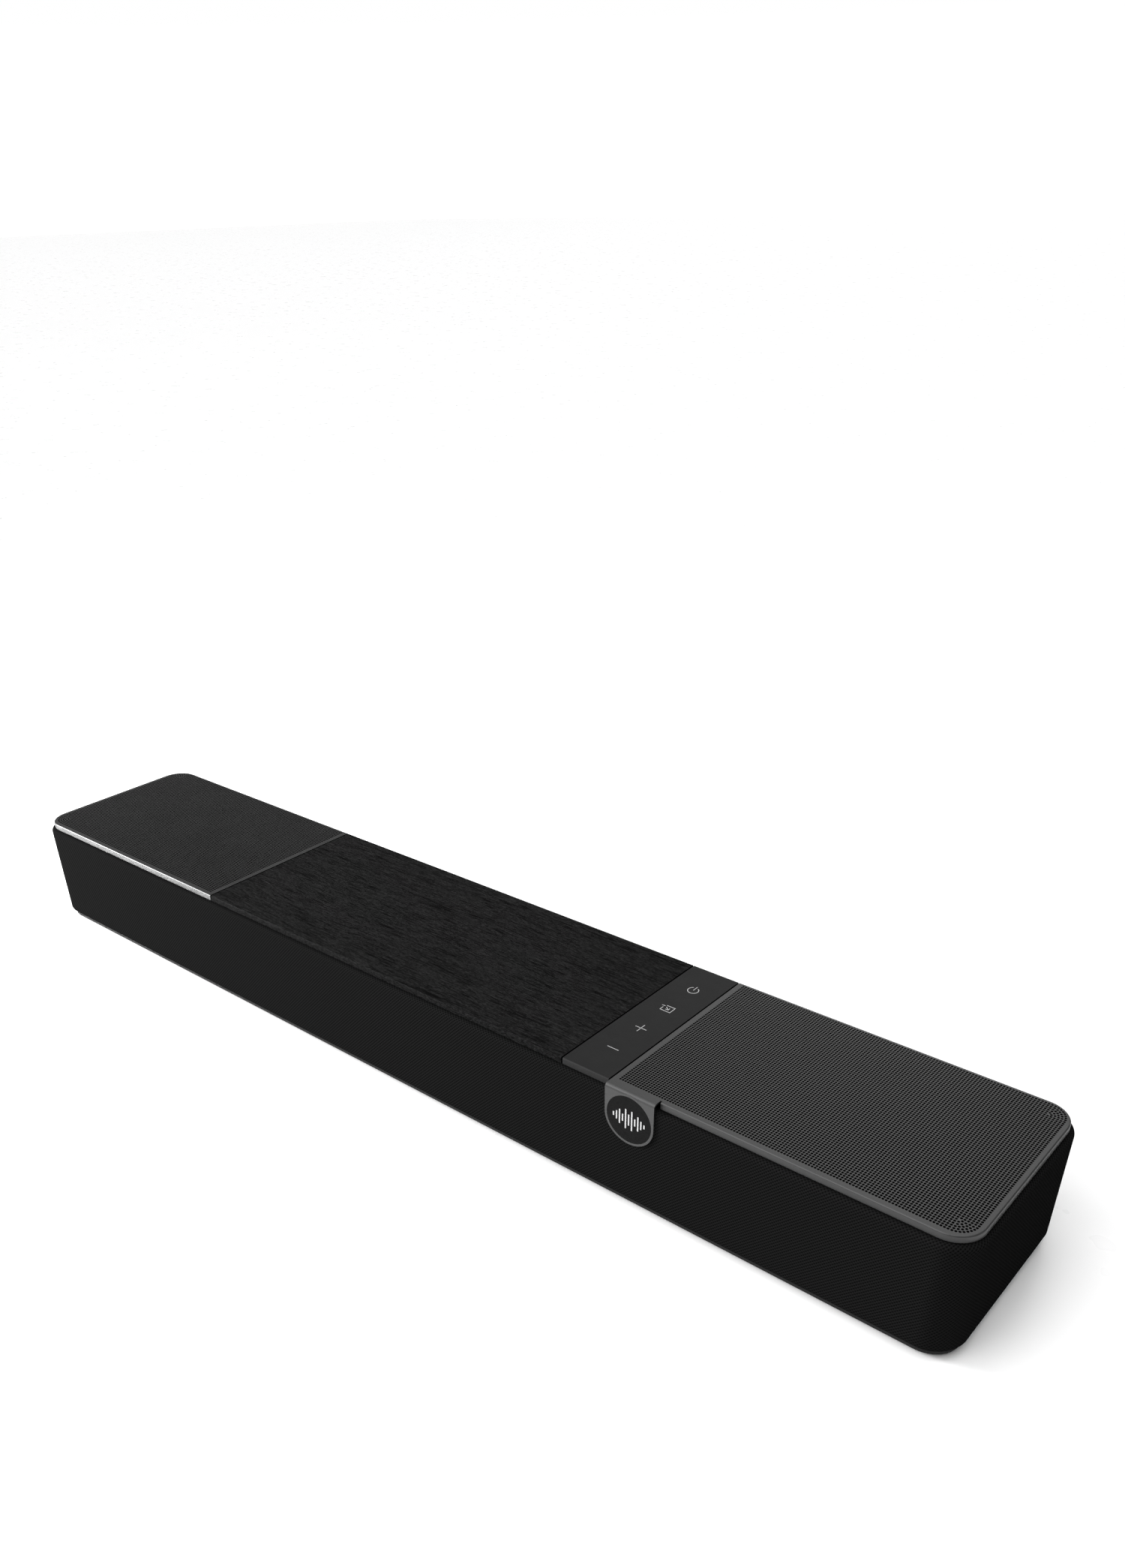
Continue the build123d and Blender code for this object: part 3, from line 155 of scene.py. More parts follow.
# Materials ------------------------------------------------------------------------------------------
class Material:
    """A Principled material, with short ways to add the nodes that vary it over the surface."""

    def __init__(self, name, **constants):
        self.made = bpy.data.materials.new(name)
        self.made.use_nodes = True
        self.tree = self.made.node_tree
        self.tree.nodes.clear()
        self.shader = self.tree.nodes.new("ShaderNodeBsdfPrincipled")
        output = self.tree.nodes.new("ShaderNodeOutputMaterial")
        self.tree.links.new(self.shader.outputs[0], output.inputs[0])
        for socket, value in constants.items():
            self.shader.inputs[socket.replace("_", " ")].default_value = value
        self.place = self.node("TexCoord").outputs["Object"]

    def node(self, kind, inputs=None, **settings):
        made = self.tree.nodes.new("ShaderNode" + kind)
        for name, value in settings.items():
            setattr(made, name, value)
        for socket, value in (inputs or {}).items():
            if isinstance(value, bpy.types.NodeSocket):
                self.tree.links.new(value, made.inputs[socket])
            else:
                made.inputs[socket].default_value = value
        return made

    def stretched(self, scale, place=None):
        """The surface's place, in units that differ along X, Y and Z."""
        inputs = {0: place or self.place, 1: scale}
        return self.node("VectorMath", inputs, operation="MULTIPLY").outputs[0]

    def noise(self, size, detail=2.0, rough=0.5, place=None):
        """Smooth noise whose blotches are about size metres across."""
        inputs = {"Vector": place or self.place, "Scale": 1 / size, "Detail": detail, "Roughness": rough}
        return self.node("TexNoise", inputs).outputs["Fac"]

    def math(self, operation, *values):
        return self.node("Math", dict(enumerate(values)), operation=operation).outputs[0]

    def spread(self, value, low, high, to_low=0.0, to_high=1.0):
        """value taken from the range low..high to to_low..to_high, and held at the ends."""
        inputs = {"Value": value, 1: low, 2: high, 3: to_low, 4: to_high}
        return self.node("MapRange", inputs, clamp=True).outputs[0]

    def mix(self, share, first, second):
        inputs = {"Factor": share, 6: colour(first), 7: colour(second)}
        return self.node("Mix", inputs, data_type="RGBA").outputs[2]

    def use(self, **sockets):
        for socket, value in sockets.items():
            self.tree.links.new(value, self.shader.inputs[socket.replace("_", " ")])

    def top_plate(self, top, rim):
        """One shade on top and one on the rims, and a near-black painted shade on the cut faces in the
        seams, where the narrow gaps lie in shade.
        """
        facing = self.node("SeparateXYZ", {0: self.node("TexCoord").outputs["Normal"]}).outputs
        across, along = (self.math("ABSOLUTE", facing[axis]) for axis in ("Y", "X"))
        shade = self.mix(self.spread(across, *RIM_TURN), top, rim)
        return self.mix(self.spread(along, *CUT_TURN), shade, SEAM_PAINTED_SHADE)

    def bump(self, height, depth, strength=1.0):
        """Relief of depth metres from a height between 0 and 1."""
        inputs = {"Height": height, "Distance": depth, "Strength": strength}
        self.use(Normal=self.node("Bump", inputs).outputs[0])


def colour(value):
    """A grey level or three numbers as a colour; a socket stays as it is."""
    if isinstance(value, (int, float)):
        return (value, value, value, 1)
    return value if isinstance(value, bpy.types.NodeSocket) else (*value, 1)


def grained(name, dark, light, grain, rough=(0.45, 0.6), depth=0.02 * MM, **constants):
    """Moulded, painted or cast surface: a fine grain with slow changes of shade and gloss."""
    m = Material(name, **constants)
    fine, slow = m.noise(grain, 3), m.noise(60 * grain, 2)
    shade = m.math("ADD", m.math("MULTIPLY", fine, 0.6), m.math("MULTIPLY", slow, 0.4))
    m.use(
        Base_Color=m.mix(m.spread(shade, 0.35, 0.65), dark, light),
        Roughness=m.spread(m.noise(8 * grain, 3), 0.3, 0.7, *rough),
    )
    m.bump(fine, depth)
    return m.made


def brushed(name, dark, light, along, rough=(0.25, 0.4), **constants):
    """Bare metal with fine scratches; along has small numbers on the axes that they run along."""
    m = Material(name, Metallic=1.0, **constants)
    lines = m.noise(0.25 * MM, 4, place=m.stretched(along))
    m.use(
        Base_Color=m.mix(m.spread(lines, 0.3, 0.7), dark, light),
        Roughness=m.spread(m.noise(3 * MM, 3), 0.3, 0.7, *rough),
    )
    m.bump(lines, 0.01 * MM, 0.5)
    return m.made


def painted_grille():
    m = Material("satin_grille_paint", Specular_IOR_Level=0.6)
    fine, slow = m.noise(0.25 * MM, 3), m.noise(30 * MM, 2)
    m.use(
        Base_Color=m.mix(m.spread(slow, 0.3, 0.7), 0.0085, 0.01),
        Roughness=m.spread(slow, 0.3, 0.7, 0.37, 0.41),
    )
    m.bump(fine, 0.001 * MM)
    return m.made


def black_wood():
    """Black-stained open-pore veneer: long thin dark pores and paler fibres along X, in wandering bands."""
    m = Material("black_wood", Specular_IOR_Level=0.02)
    wander = m.noise(40 * MM, 2, place=m.stretched((0.3, 1, 1)))
    bent = m.node("CombineXYZ", {"Y": m.math("MULTIPLY", m.math("SUBTRACT", wander, 0.5), 10 * MM)})
    place = m.node("VectorMath", {0: m.place, 1: bent.outputs[0]}, operation="ADD").outputs[0]
    pores = m.noise(0.42 * MM, 2, 0.5, m.stretched((0.035, 1, 1), place))
    hairs = m.noise(0.42 * MM, 3, 0.7, m.stretched((0.22, 1, 1), place))
    streaks = m.noise(0.4 * MM, 2, 0.5, m.stretched((0.02, 1, 1), place))
    bands = m.noise(7 * MM, 3, 0.55, m.stretched((0.12, 1, 1), place))
    open_pores = m.spread(m.math("ADD", pores, m.math("MULTIPLY", bands, 0.22)), 0.665, 0.69)
    ground = m.mix(m.spread(hairs, 0.36, 0.64), 0.0012, 0.0158)
    fibre = m.mix(m.spread(streaks, 0.68, 0.76), ground, 0.03)
    # The rims that face front or rear get a flecked shade of their own, chosen by which way the face turns;
    # the cut faces in the seams are almost black as painted shade.
    rim_flecks = m.mix(m.spread(hairs, 0.42, 0.6), 0.001, 0.013)
    m.use(
        Base_Color=m.top_plate(m.mix(open_pores, fibre, 0.001), rim_flecks),
        Roughness=m.spread(hairs, 0.3, 0.7, 0.55, 0.7),
    )
    height = m.math("SUBTRACT", m.math("MULTIPLY", hairs, 0.5), open_pores)
    m.bump(height, 0.09 * MM, 0.8)
    return m.made


def acoustic_cloth():
    """Black mesh cloth: threads that cross at 45 degrees, the rising ones prouder, with gaps between. Its
    colour is painted lighter on the proud threads and darker in the gaps, as painted light and shade.
    """
    m = Material("acoustic_cloth", Specular_IOR_Level=0.0)
    weave = m.node("SeparateXYZ", {0: m.node("UVMap", uv_map="weave").outputs[0]})
    along, up = weave.outputs["X"], weave.outputs["Y"]

    def threads(way):
        phase = m.math("MULTIPLY", m.math(way, up, along), 2 * math.pi / WEAVE)
        return m.spread(m.math("COSINE", phase), -1, 1)

    rising, falling = threads("SUBTRACT"), threads("ADD")
    gaps = m.math("MULTIPLY", m.math("SUBTRACT", 1, rising), m.math("SUBTRACT", 1, falling))
    yarn = m.noise(0.35 * MM, 3)
    relief = m.math("ADD", m.math("MULTIPLY", rising, 0.65), m.math("MULTIPLY", falling, 0.35))
    # painted light on the proud threads and painted shade in the gaps, put into the colour and then varied
    # by a random yarn tone
    painted_relief_light = m.math("MULTIPLY", m.spread(relief, 0, 1, 0.45, 1), m.spread(gaps, 0.35, 0.85, 1, 0.15))
    light_and_yarn_tone = m.math("MULTIPLY", painted_relief_light, m.spread(yarn, 0.25, 0.75, 0.8, 1.0))
    m.use(
        Base_Color=m.mix(light_and_yarn_tone, 0.001, 0.0104),
        Roughness=m.spread(yarn, 0.3, 0.7, 0.75, 0.95),
    )
    m.bump(relief, 0.25 * MM, 0.7)
    return m.made


def control_plastic():
    m = Material("strip_plastic", Specular_IOR_Level=0.1)
    fine, slow = m.noise(0.18 * MM, 3), m.noise(11 * MM, 2)
    m.use(
        # The rims that face front and rear are lighter as a painted highlight, and the cut faces in the
        # seams are almost black as painted shade.
        Base_Color=m.top_plate(m.mix(m.spread(slow, 0.3, 0.7), 0.0085, 0.01), 0.0145),
        Roughness=m.spread(fine, 0.3, 0.7, 0.46, 0.54),
    )
    m.bump(fine, 0.006 * MM)
    return m.made


def circuit_board():
    m = Material("solder_mask", Specular_IOR_Level=0.5)
    tracks = m.node(
        "TexBrick",
        {"Vector": m.place, "Scale": 180.0, "Mortar Size": 0.06, "Color1": (0.01, 0.09, 0.04, 1),
         "Color2": (0.012, 0.12, 0.05, 1), "Mortar": (0.05, 0.24, 0.1, 1)},
    )
    blotch = m.spread(m.noise(3 * MM), 0.3, 0.7, 0, 0.3)
    m.use(
        Base_Color=m.mix(blotch, tracks.outputs["Color"], (0.01, 0.07, 0.03)),
        Roughness=m.spread(m.noise(1 * MM), 0.3, 0.7, 0.25, 0.4),
    )
    m.bump(tracks.outputs["Fac"], 0.03 * MM)
    return m.made


def turned_face():
    """Badge face: satin black with very fine rings, as a turned and painted disc has."""
    m = Material("badge_black", Specular_IOR_Level=0.04)
    low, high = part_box("badge_disc")
    centre = (low + high) / 2
    from_centre = m.node("VectorMath", {0: m.place, 1: centre}, operation="SUBTRACT").outputs[0]
    radius = m.node("VectorMath", {0: from_centre}, operation="LENGTH").outputs["Value"]
    rings = m.spread(m.math("SINE", m.math("MULTIPLY", radius, 2 * math.pi / (0.3 * MM))), -1, 1)
    blotch = m.noise(2 * MM, 3)
    m.use(
        Base_Color=m.mix(m.spread(blotch, 0.3, 0.7), 0.003, 0.005),
        Roughness=m.spread(blotch, 0.3, 0.7, 0.38, 0.5),
    )
    m.bump(rings, 0.004 * MM, 0.6)
    return m.made


grille_paint = painted_grille()
# near-black painted shade for the walls of the holes and for the grilles' cut faces in the seams
hole_and_seam_shade = grained("hole_and_seam_shade", 0.001, 0.002, 0.2 * MM, (0.6, 0.75), Specular_IOR_Level=0.0)
wood = black_wood()
cloth_weave = acoustic_cloth()
strip_plastic = control_plastic()
frame_plastic = grained("frame_plastic", 0.0015, 0.0025, 0.3 * MM, (0.6, 0.75), Specular_IOR_Level=0.04)
base_plastic = grained(
    "base_plastic", 0.008, 0.011, 0.35 * MM, (0.5, 0.65), 0.03 * MM, Specular_IOR_Level=0.12
)
cover_plastic = grained("cover_plastic", 0.014, 0.02, 0.4 * MM, (0.5, 0.65), 0.04 * MM)
rubber = grained("rubber", 0.012, 0.018, 0.5 * MM, (0.8, 0.95), 0.03 * MM)
foam = grained("foam", 0.02, 0.04, 0.7 * MM, (0.9, 1.0), 0.15 * MM)
black_paint = grained("basket_paint", 0.015, 0.022, 0.3 * MM, (0.35, 0.5))
ferrite = grained("ferrite", 0.05, 0.08, 0.25 * MM, (0.55, 0.75), 0.03 * MM)
pulp = grained("cone_pulp", 0.01, 0.02, 0.9 * MM, (0.6, 0.8), 0.08 * MM)
resin_cloth = grained(
    "spider_cloth", (0.3, 0.17, 0.05), (0.42, 0.26, 0.09), 0.5 * MM, (0.7, 0.85), 0.08 * MM
)
key_plastic = grained("key_plastic", 0.03, 0.045, 0.3 * MM)
socket_plastic = grained("socket_plastic", 0.012, 0.018, 0.25 * MM, (0.4, 0.55))
winding = grained(
    "winding_tape", (0.32, 0.22, 0.05), (0.45, 0.32, 0.09), 0.8 * MM, (0.35, 0.5), 0.04 * MM
)
sleeve = grained(
    "capacitor_sleeve", (0.01, 0.015, 0.05), (0.015, 0.02, 0.08), 1.2 * MM, (0.25, 0.35), 0.01 * MM
)
wire_sleeve = grained(
    "wire_sleeve", (0.16, 0.01, 0.01), (0.22, 0.015, 0.012), 0.5 * MM, (0.4, 0.55), 0.01 * MM
)
zinc = brushed("zinc_plate", 0.42, 0.6, ALONG_Z)
nickel = brushed("nickel_shell", 0.5, 0.68, ALONG_Y, (0.18, 0.3))
aluminium = brushed("extruded_aluminium", 0.62, 0.78, ALONG_Y)
brass = brushed("brass", (0.55, 0.36, 0.12), (0.75, 0.52, 0.2), ALONG_Y)
screw_steel = brushed("black_zinc", 0.12, 0.2, ALONG_Z, (0.3, 0.42))
icon_ink = grained("icon_ink", 0.3, 0.34, 0.2 * MM, (0.5, 0.6), 0.004 * MM)
badge_ink = brushed("badge_silver", 0.5, 0.62, ALONG_X, (0.3, 0.4))
badge_black = turned_face()
solder_mask = circuit_board()

FINISHES = {
    "wood_panel": wood,
    "control_strip": strip_plastic,
    "badge_disc": badge_black,
    "base_tray": base_plastic,
    "rubber_feet": rubber,
    "cabinet": frame_plastic,
    "top_deck": frame_plastic,
    "top_frame": frame_plastic,
    "grille_frame": frame_plastic,
    "rear_cover": cover_plastic,
    "wall_mount_inserts": brass,
    "control_board": solder_mask,
    "main_board": solder_mask,
    "power_board": solder_mask,
    "indicator_board": solder_mask,
    "driver_gaskets": foam,
    "transformer": winding,
    "capacitors": sleeve,
    "amplifier_heatsink": aluminium,
    "hdmi_socket": nickel,
    "usb_socket": nickel,
    "optical_socket": socket_plastic,
    "subwoofer_socket": socket_plastic,
    "ac_inlet": socket_plastic,
    "speaker_wires": wire_sleeve,
    "case_screws": screw_steel,
    "driver_screws": screw_steel,
    "key": key_plastic,
    "basket": black_paint,
    "front_plate": zinc,
    "yoke": zinc,
    "magnet": ferrite,
    "cone": pulp,
    "surround": rubber,
    "spider": resin_cloth,
}


def finish_of(node):
    """A node's own finish, or that of the driver or key part which its name starts or ends with."""
    if node in FINISHES:
        return FINISHES[node]
    return next(
        finish for part, finish in FINISHES.items()
        if node.endswith("_" + part) or node.startswith(part + "_")
    )


def add_object(name, mesh, materials, body="housing"):
    """A new piece of the object, riding on a CAD body."""
    made = bpy.data.objects.new(name, mesh)
    for material in materials:
        mesh.materials.append(material)
    bpy.context.scene.collection.objects.link(made)
    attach(made, body)
    return made


def mesh_of(name, points, faces):
    mesh = bpy.data.meshes.new(name)
    mesh.from_pydata(points, [], faces)
    mesh.validate()
    mesh.shade_smooth()
    mesh.set_sharp_from_angle(angle=SHARP)
    return mesh


# Perforated grilles ---------------------------------------------------------------------------------
OCTAGON = [
    (HOLE_R * math.cos(math.radians(a)), HOLE_R * math.sin(math.radians(a)))
    for a in (22.5 + 45 * k for k in range(8))
]
CELL_CORNERS = [(1, 1), (-1, 1), (-1, -1), (1, -1)]


class Plate:
    """Points and faces of a perforated sheet. Each point of its top has a twin below, one index on."""

    def __init__(self, top, under, points=(), faces=()):
        self.top, self.under = top, under
        self.points, self.faces, self.known = list(points), list(faces), {}
        self.painted_shade_faces = set()  # faces inside the holes, which get a near-black painted shade

    def point(self, x, y):
        key = (round(x * KEY_SCALE), round(y * KEY_SCALE))
        if key not in self.known:
            self.known[key] = len(self.points)
            self.points += [(x, y, self.top), (x, y, self.under)]
        return self.known[key]

    def face(self, *tops):
        self.faces += [tops, tuple(i + 1 for i in reversed(tops))]

    def wall(self, a, b):
        """Cut edge of the sheet, seen from the right of the way from a to b."""
        self.faces.append((b, a, a + 1, b + 1))

    def hole(self, x, y):
        """The wall of one hole; returns the points round its top."""
        rim = [self.point(x + dx, y + dy) for dx, dy in OCTAGON]
        for a, b in zip(rim, rim[1:] + rim[:1]):
            self.painted_shade_faces.add(len(self.faces))
            self.wall(b, a)
        return rim

    def cell(self, x, y):
        """A square of sheet round one hole."""
        rim = self.hole(x, y)
        corners = [self.point(x + sx * PITCH / 2, y + sy * PITCH / 2) for sx, sy in CELL_CORNERS]
        for k, corner in enumerate(corners):
            after = corners[(k + 1) % 4]
            self.face(corner, rim[2 * k + 1], rim[2 * k])
            self.face(corner, after, rim[(2 * k + 2) % 8], rim[2 * k + 1])


def cell_sides(cells, centre):
    """Outer sides of a block of cells, each as two points with the block on the left."""
    steps = [((0, 1), (1, 1), (-1, 1)), ((-1, 0), (-1, 1), (-1, -1)),
             ((0, -1), (-1, -1), (1, -1)), ((1, 0), (1, -1), (1, 1))]
    for i, j in sorted(cells):
        x, y = centre(i, j)
        side = 1 if centre(i + 1, j)[0] > x else -1
        for (di, dj), *ends in steps:
            if (i + side * di, j + dj) not in cells:
                yield [(x + sx * PITCH / 2, y + sy * PITCH / 2) for sx, sy in ends]


def corner_holes(x, y, side_x, side_y):
    """Hole centres on quarter circles about the point x, y."""
    yield x, y
    for ring in range(1, ARC_RINGS + 1):
        steps = math.floor(ring * math.pi / 2)
        for k in range(steps + 1):
            turn = k / steps * math.pi / 2
            yield (
                x + side_x * ring * PITCH * math.cos(turn),
                y + side_y * ring * PITCH * math.sin(turn),
            )


def inside(x, y, edges):
    """True if the point lies inside the outline that the edges make."""
    crossings = 0
    for (ax, ay), (bx, by) in edges:
        if (ay > y) != (by > y) and x < ax + (y - ay) / (by - ay) * (bx - ax):
            crossings += 1
    return crossings % 2 == 1


def fill_margin(plate, layer, outline, block, holes, in_block):
    """Triangles between the cap's outline, the block of cells and the corner holes, on one side."""
    keys, index, edges = [], {}, []

    def number(key, x, y):
        if key not in index:
            index[key] = len(keys)
            keys.append((key, x, y))
        return index[key]

    for ends in outline:
        edges.append([number(("cad", i), x, y) for i, x, y in ends])
    for ends in block:
        edges.append([number(("new", plate.point(x, y) + layer), x, y) for x, y in ends])
    for x, y in holes:
        rim = [number(("new", plate.point(x + dx, y + dy) + layer), x + dx, y + dy) for dx, dy in OCTAGON]
        edges += [[a, b] for a, b in zip(rim, rim[1:] + rim[:1])]
    flat = [Vector((x / MM, y / MM)) for _, x, y in keys]
    made, _, triangles, origin, _, _ = delaunay_2d_cdt(flat, edges, [], ALL_TRIANGLES, CDT_TOLERANCE)
    border = [((a[1], a[2]), (b[1], b[2])) for a, b in outline]
    for triangle in triangles:
        x, y = (sum(made[i][k] for i in triangle) / 3 * MM for k in (0, 1))
        near_hole = any(math.hypot(x - hx, y - hy) < IN_HOLE for hx, hy in holes)
        if near_hole or in_block(x, y) or not inside(x, y, border):
            continue
        face = [keys[origin[i][0]][0][1] for i in triangle]
        plate.faces.append(tuple(reversed(face)) if layer else tuple(face))


def perforated_grille(side_name, spec):
    """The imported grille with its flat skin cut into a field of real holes, as two pieces."""
    node = f"{side_name}_top_grille"
    shell = bmesh.new()
    shell.from_mesh(nodes[node].data)
    bmesh.ops.remove_doubles(shell, verts=shell.verts, dist=WELD)
    top = max(v.co.z for v in shell.verts)
    under = max(v.co.z for f in shell.faces if f.normal.z < -LEVEL for v in f.verts)
    outlines = []
    for level, facing in ((top, 1), (under, -1)):
        skin = [
            f for f in shell.faces
            if f.normal.z * facing > LEVEL and all(abs(v.co.z - level) < FLAT for v in f.verts)
        ]
        chosen = set(skin)
        rim = [e for f in skin for e in f.edges if sum(g in chosen for g in e.link_faces) == 1]
        outlines.append([tuple(e.verts) for e in rim])
        bmesh.ops.delete(shell, geom=skin, context="FACES_ONLY")
    shell.verts.index_update()
    outlines = [[[(v.index, v.co.x, v.co.y) for v in ends] for ends in rim] for rim in outlines]

    side, columns = spec["side"], spec["columns"]

    def centre(i, j):
        return spec["first_x"] + side * i * PITCH, FRONT_ROW_Y + j * PITCH

    corner, front, rear = columns - 1 - ARC_RINGS, ARC_RINGS, ROWS - 1 - ARC_RINGS
    cells = {
        (i, j) for i in range(columns) for j in range(ROWS)
        if i < corner or front < j < rear
    }
    field = {(i, j) for i, j in cells if i < columns // 2}

    def in_block(x, y):
        found = (round((x - spec["first_x"]) / (side * PITCH)), round((y - FRONT_ROW_Y) / PITCH))
        return found in cells

    outer = Plate(top, under, [tuple(v.co) for v in shell.verts],
                  [tuple(v.index for v in f.verts) for f in shell.faces])
    shell.free()
    holes = [
        hole
        for row, side_y in ((front, -1), (rear, 1))
        for hole in corner_holes(*centre(corner, row), side, side_y)
    ]
    for x, y in holes:
        outer.hole(x, y)
    for cell in sorted(cells - field):
        outer.cell(*centre(*cell))
    block = list(cell_sides(cells, centre))
    for layer, outline in enumerate(outlines):
        fill_margin(outer, layer, outline, block, holes, in_block)
    inner = Plate(top, under)
    for cell in sorted(field):
        inner.cell(*centre(*cell))
    for a, b in cell_sides(field, centre):
        inner.wall(inner.point(*a), inner.point(*b))
        outer.wall(outer.point(*b), outer.point(*a))
    for part, plate in (("shell", outer), ("field", inner)):
        name = f"{side_name}_grille_{part}"
        mesh = mesh_of(name, plate.points, plate.faces)
        # The second material is for the holes' walls and for the sheet's cut face in the seam, a near-black
        # painted shade
        for face in mesh.polygons:
            face.material_index = face.index in plate.painted_shade_faces or -side * face.normal.x > SEAM_SIDE
        made = add_object(name, mesh, (grille_paint, hole_and_seam_shade))
        made.modifiers.new("even_shading", "WEIGHTED_NORMAL").keep_sharp = True
        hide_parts(node)


# Cloth wrap -----------------------------------------------------------------------------------------
def wrap_path():
    """Stations round the body from one end of the rear gap to the other: x, y, outward x, y, distance."""
    low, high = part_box("grille_fabric")
    half_x, half_y = (high.x - low.x) / 2, (high.y - low.y) / 2
    in_x, in_y = half_x - CLOTH_CORNER, half_y - CLOTH_CORNER
    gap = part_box("rear_cover")[1].x + GAP_ROOM
    centres = [(in_x, in_y, 90), (in_x, -in_y, 0), (-in_x, -in_y, -90), (-in_x, in_y, -180)]
    corners = []
    for x, y, first in centres:
        for k in range(CORNER_STEPS + 1):
            turn = math.radians(first - 90 * k / CORNER_STEPS)
            nx, ny = math.cos(turn), math.sin(turn)
            corners.append((x + CLOTH_CORNER * nx, y + CLOTH_CORNER * ny, nx, ny))
    ends = [(gap, half_y, 0, 1), *corners, (-gap, half_y, 0, 1)]
    stations, travelled = [(*ends[0], 0.0)], 0.0
    for a, b in zip(ends, ends[1:]):
        run = math.hypot(b[0] - a[0], b[1] - a[1])
        steps = max(1, round(run / STATION_STEP))
        for k in range(1, steps + 1):
            share = k / steps
            x, y, nx, ny = (p + (q - p) * share for p, q in zip(a, b))
            stations.append((x, y, nx, ny, travelled + run * share))
        travelled += run
    return stations


def wrap_profile():
    """Section of the cloth from its lower lip to its upper one: inset from the outline, height."""
    low, high = (corner.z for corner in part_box("grille_fabric"))
    turns = [math.radians(90 * k / EDGE_STEPS) for k in range(EDGE_STEPS + 1)]
    wall = high - SHOULDER - low - HEEL
    points = [(LIP, low), ((LIP + HEEL) / 2, low)]
    points += [(HEEL * (1 - math.sin(t)), low + HEEL * (1 - math.cos(t))) for t in turns]
    points += [(0, low + HEEL + wall * k / WALL_STEPS) for k in range(1, WALL_STEPS)]
    points += [(SHOULDER * (1 - math.cos(t)), high - SHOULDER * (1 - math.sin(t))) for t in turns]
    points += [((LIP + SHOULDER) / 2, high), (LIP, high)]
    heights = [0.0]
    for a, b in zip(points, points[1:]):
        heights.append(heights[-1] + math.dist(a, b))
    return points, heights


def cloth_wrap():
    stations, (profile, heights) = wrap_path(), wrap_profile()
    points, faces, wide = [], [], len(profile)
    for x, y, nx, ny, _ in stations:
        points += [(x - nx * inset, y - ny * inset, z) for inset, z in profile]
    for i in range(len(stations) - 1):
        for j in range(wide - 1):
            a = i * wide + j
            faces.append((a, a + 1, a + wide + 1, a + wide))
    mesh = mesh_of("cloth_wrap", points, faces)
    weave = mesh.uv_layers.new(name="weave")
    for loop in mesh.loops:
        station, row = divmod(loop.vertex_index, wide)
        weave.data[loop.index].uv = (-stations[station][4], heights[row])
    made = add_object("cloth_wrap", mesh, (cloth_weave,))
    thick = made.modifiers.new("thickness", "SOLIDIFY")
    thick.thickness, thick.offset = CLOTH_THICK, -1
    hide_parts("grille_fabric")


# Driver suspensions ---------------------------------------------------------------------------------
def flexible_ring(node, cone, spec):
    """Suspension whose outer edge stays with the housing while its inner edge follows the cone."""
    low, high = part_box(node)
    centre = (low + high) / 2
    mesh = nodes[node].data.copy()
    radii = []
    for vertex in mesh.vertices:
        away = vertex.co - centre
        away[spec["axis"]] = 0
        radii.append(away.length)
    fixed, moving = max(radii) - spec["fixed"], min(radii) + spec["moving"]
    made = bpy.data.objects.new(f"{node}_ring", mesh)
    bpy.context.scene.collection.objects.link(made)
    across = Vector((1, 0, 0))
    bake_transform(made, "housing", cone, start=centre + fixed * across, end=centre + moving * across)
    # The blend above runs along one line, and a ring has to bend the same way all round
    for share, radius in zip(mesh.attributes["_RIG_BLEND"].data, radii):
        part = min(max((fixed - radius) / (fixed - moving), 0), 1)
        share.value = part * part * (3 - 2 * part)
    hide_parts(node)


# Printed marks --------------------------------------------------------------------------------------
def stroke(points, width):
    """Left and right edges of a line of even width through flat points, mitred at its bends."""
    edges = []
    for k, (x, y) in enumerate(points):
        ways = []
        for a, b in ((k - 1, k), (k, k + 1)):
            if a >= 0 and b < len(points):
                (ax, ay), (bx, by) = points[a], points[b]
                run = math.hypot(bx - ax, by - ay)
                ways.append(((bx - ax) / run, (by - ay) / run))
        tx, ty = (sum(way[axis] for way in ways) for axis in (0, 1))
        size = math.hypot(tx, ty)
        tx, ty = tx / size, ty / size
        reach = width / 2 / (tx * ways[0][0] + ty * ways[0][1])
        edges.append(((x - ty * reach, y + tx * reach), (x + ty * reach, y - tx * reach)))
    return edges


def print_mark(name, strokes, place, material):
    """Thin raised ink from strokes of (points, width); place takes flat x, y and a height to the frame."""
    points, faces = [], []
    for line, width in strokes:
        first, edges = len(points), stroke(line, width)
        for left, right in edges:
            points += [place(*left, PRINT_HIGH), place(*right, PRINT_HIGH),
                       place(*left, -PRINT_HIGH), place(*right, -PRINT_HIGH)]
        last = first + 4 * (len(edges) - 1)
        for a in range(first, last, 4):
            b = a + 4
            faces += [(a + 1, b + 1, b, a), (a, b, b + 2, a + 2),
                      (a + 3, b + 3, b + 1, a + 1), (a + 2, b + 2, b + 3, a + 3)]
        faces += [(first, first + 2, first + 3, first + 1), (last + 1, last + 3, last + 2, last)]
    return add_object(name, mesh_of(name, points, faces), (material,))


def arc(x, y, radius, start, end, steps):
    """Points on a circle between two angles in degrees."""
    turns = [math.radians(start + (end - start) * k / steps) for k in range(steps + 1)]
    return [(x + radius * math.cos(t), y + radius * math.sin(t)) for t in turns]


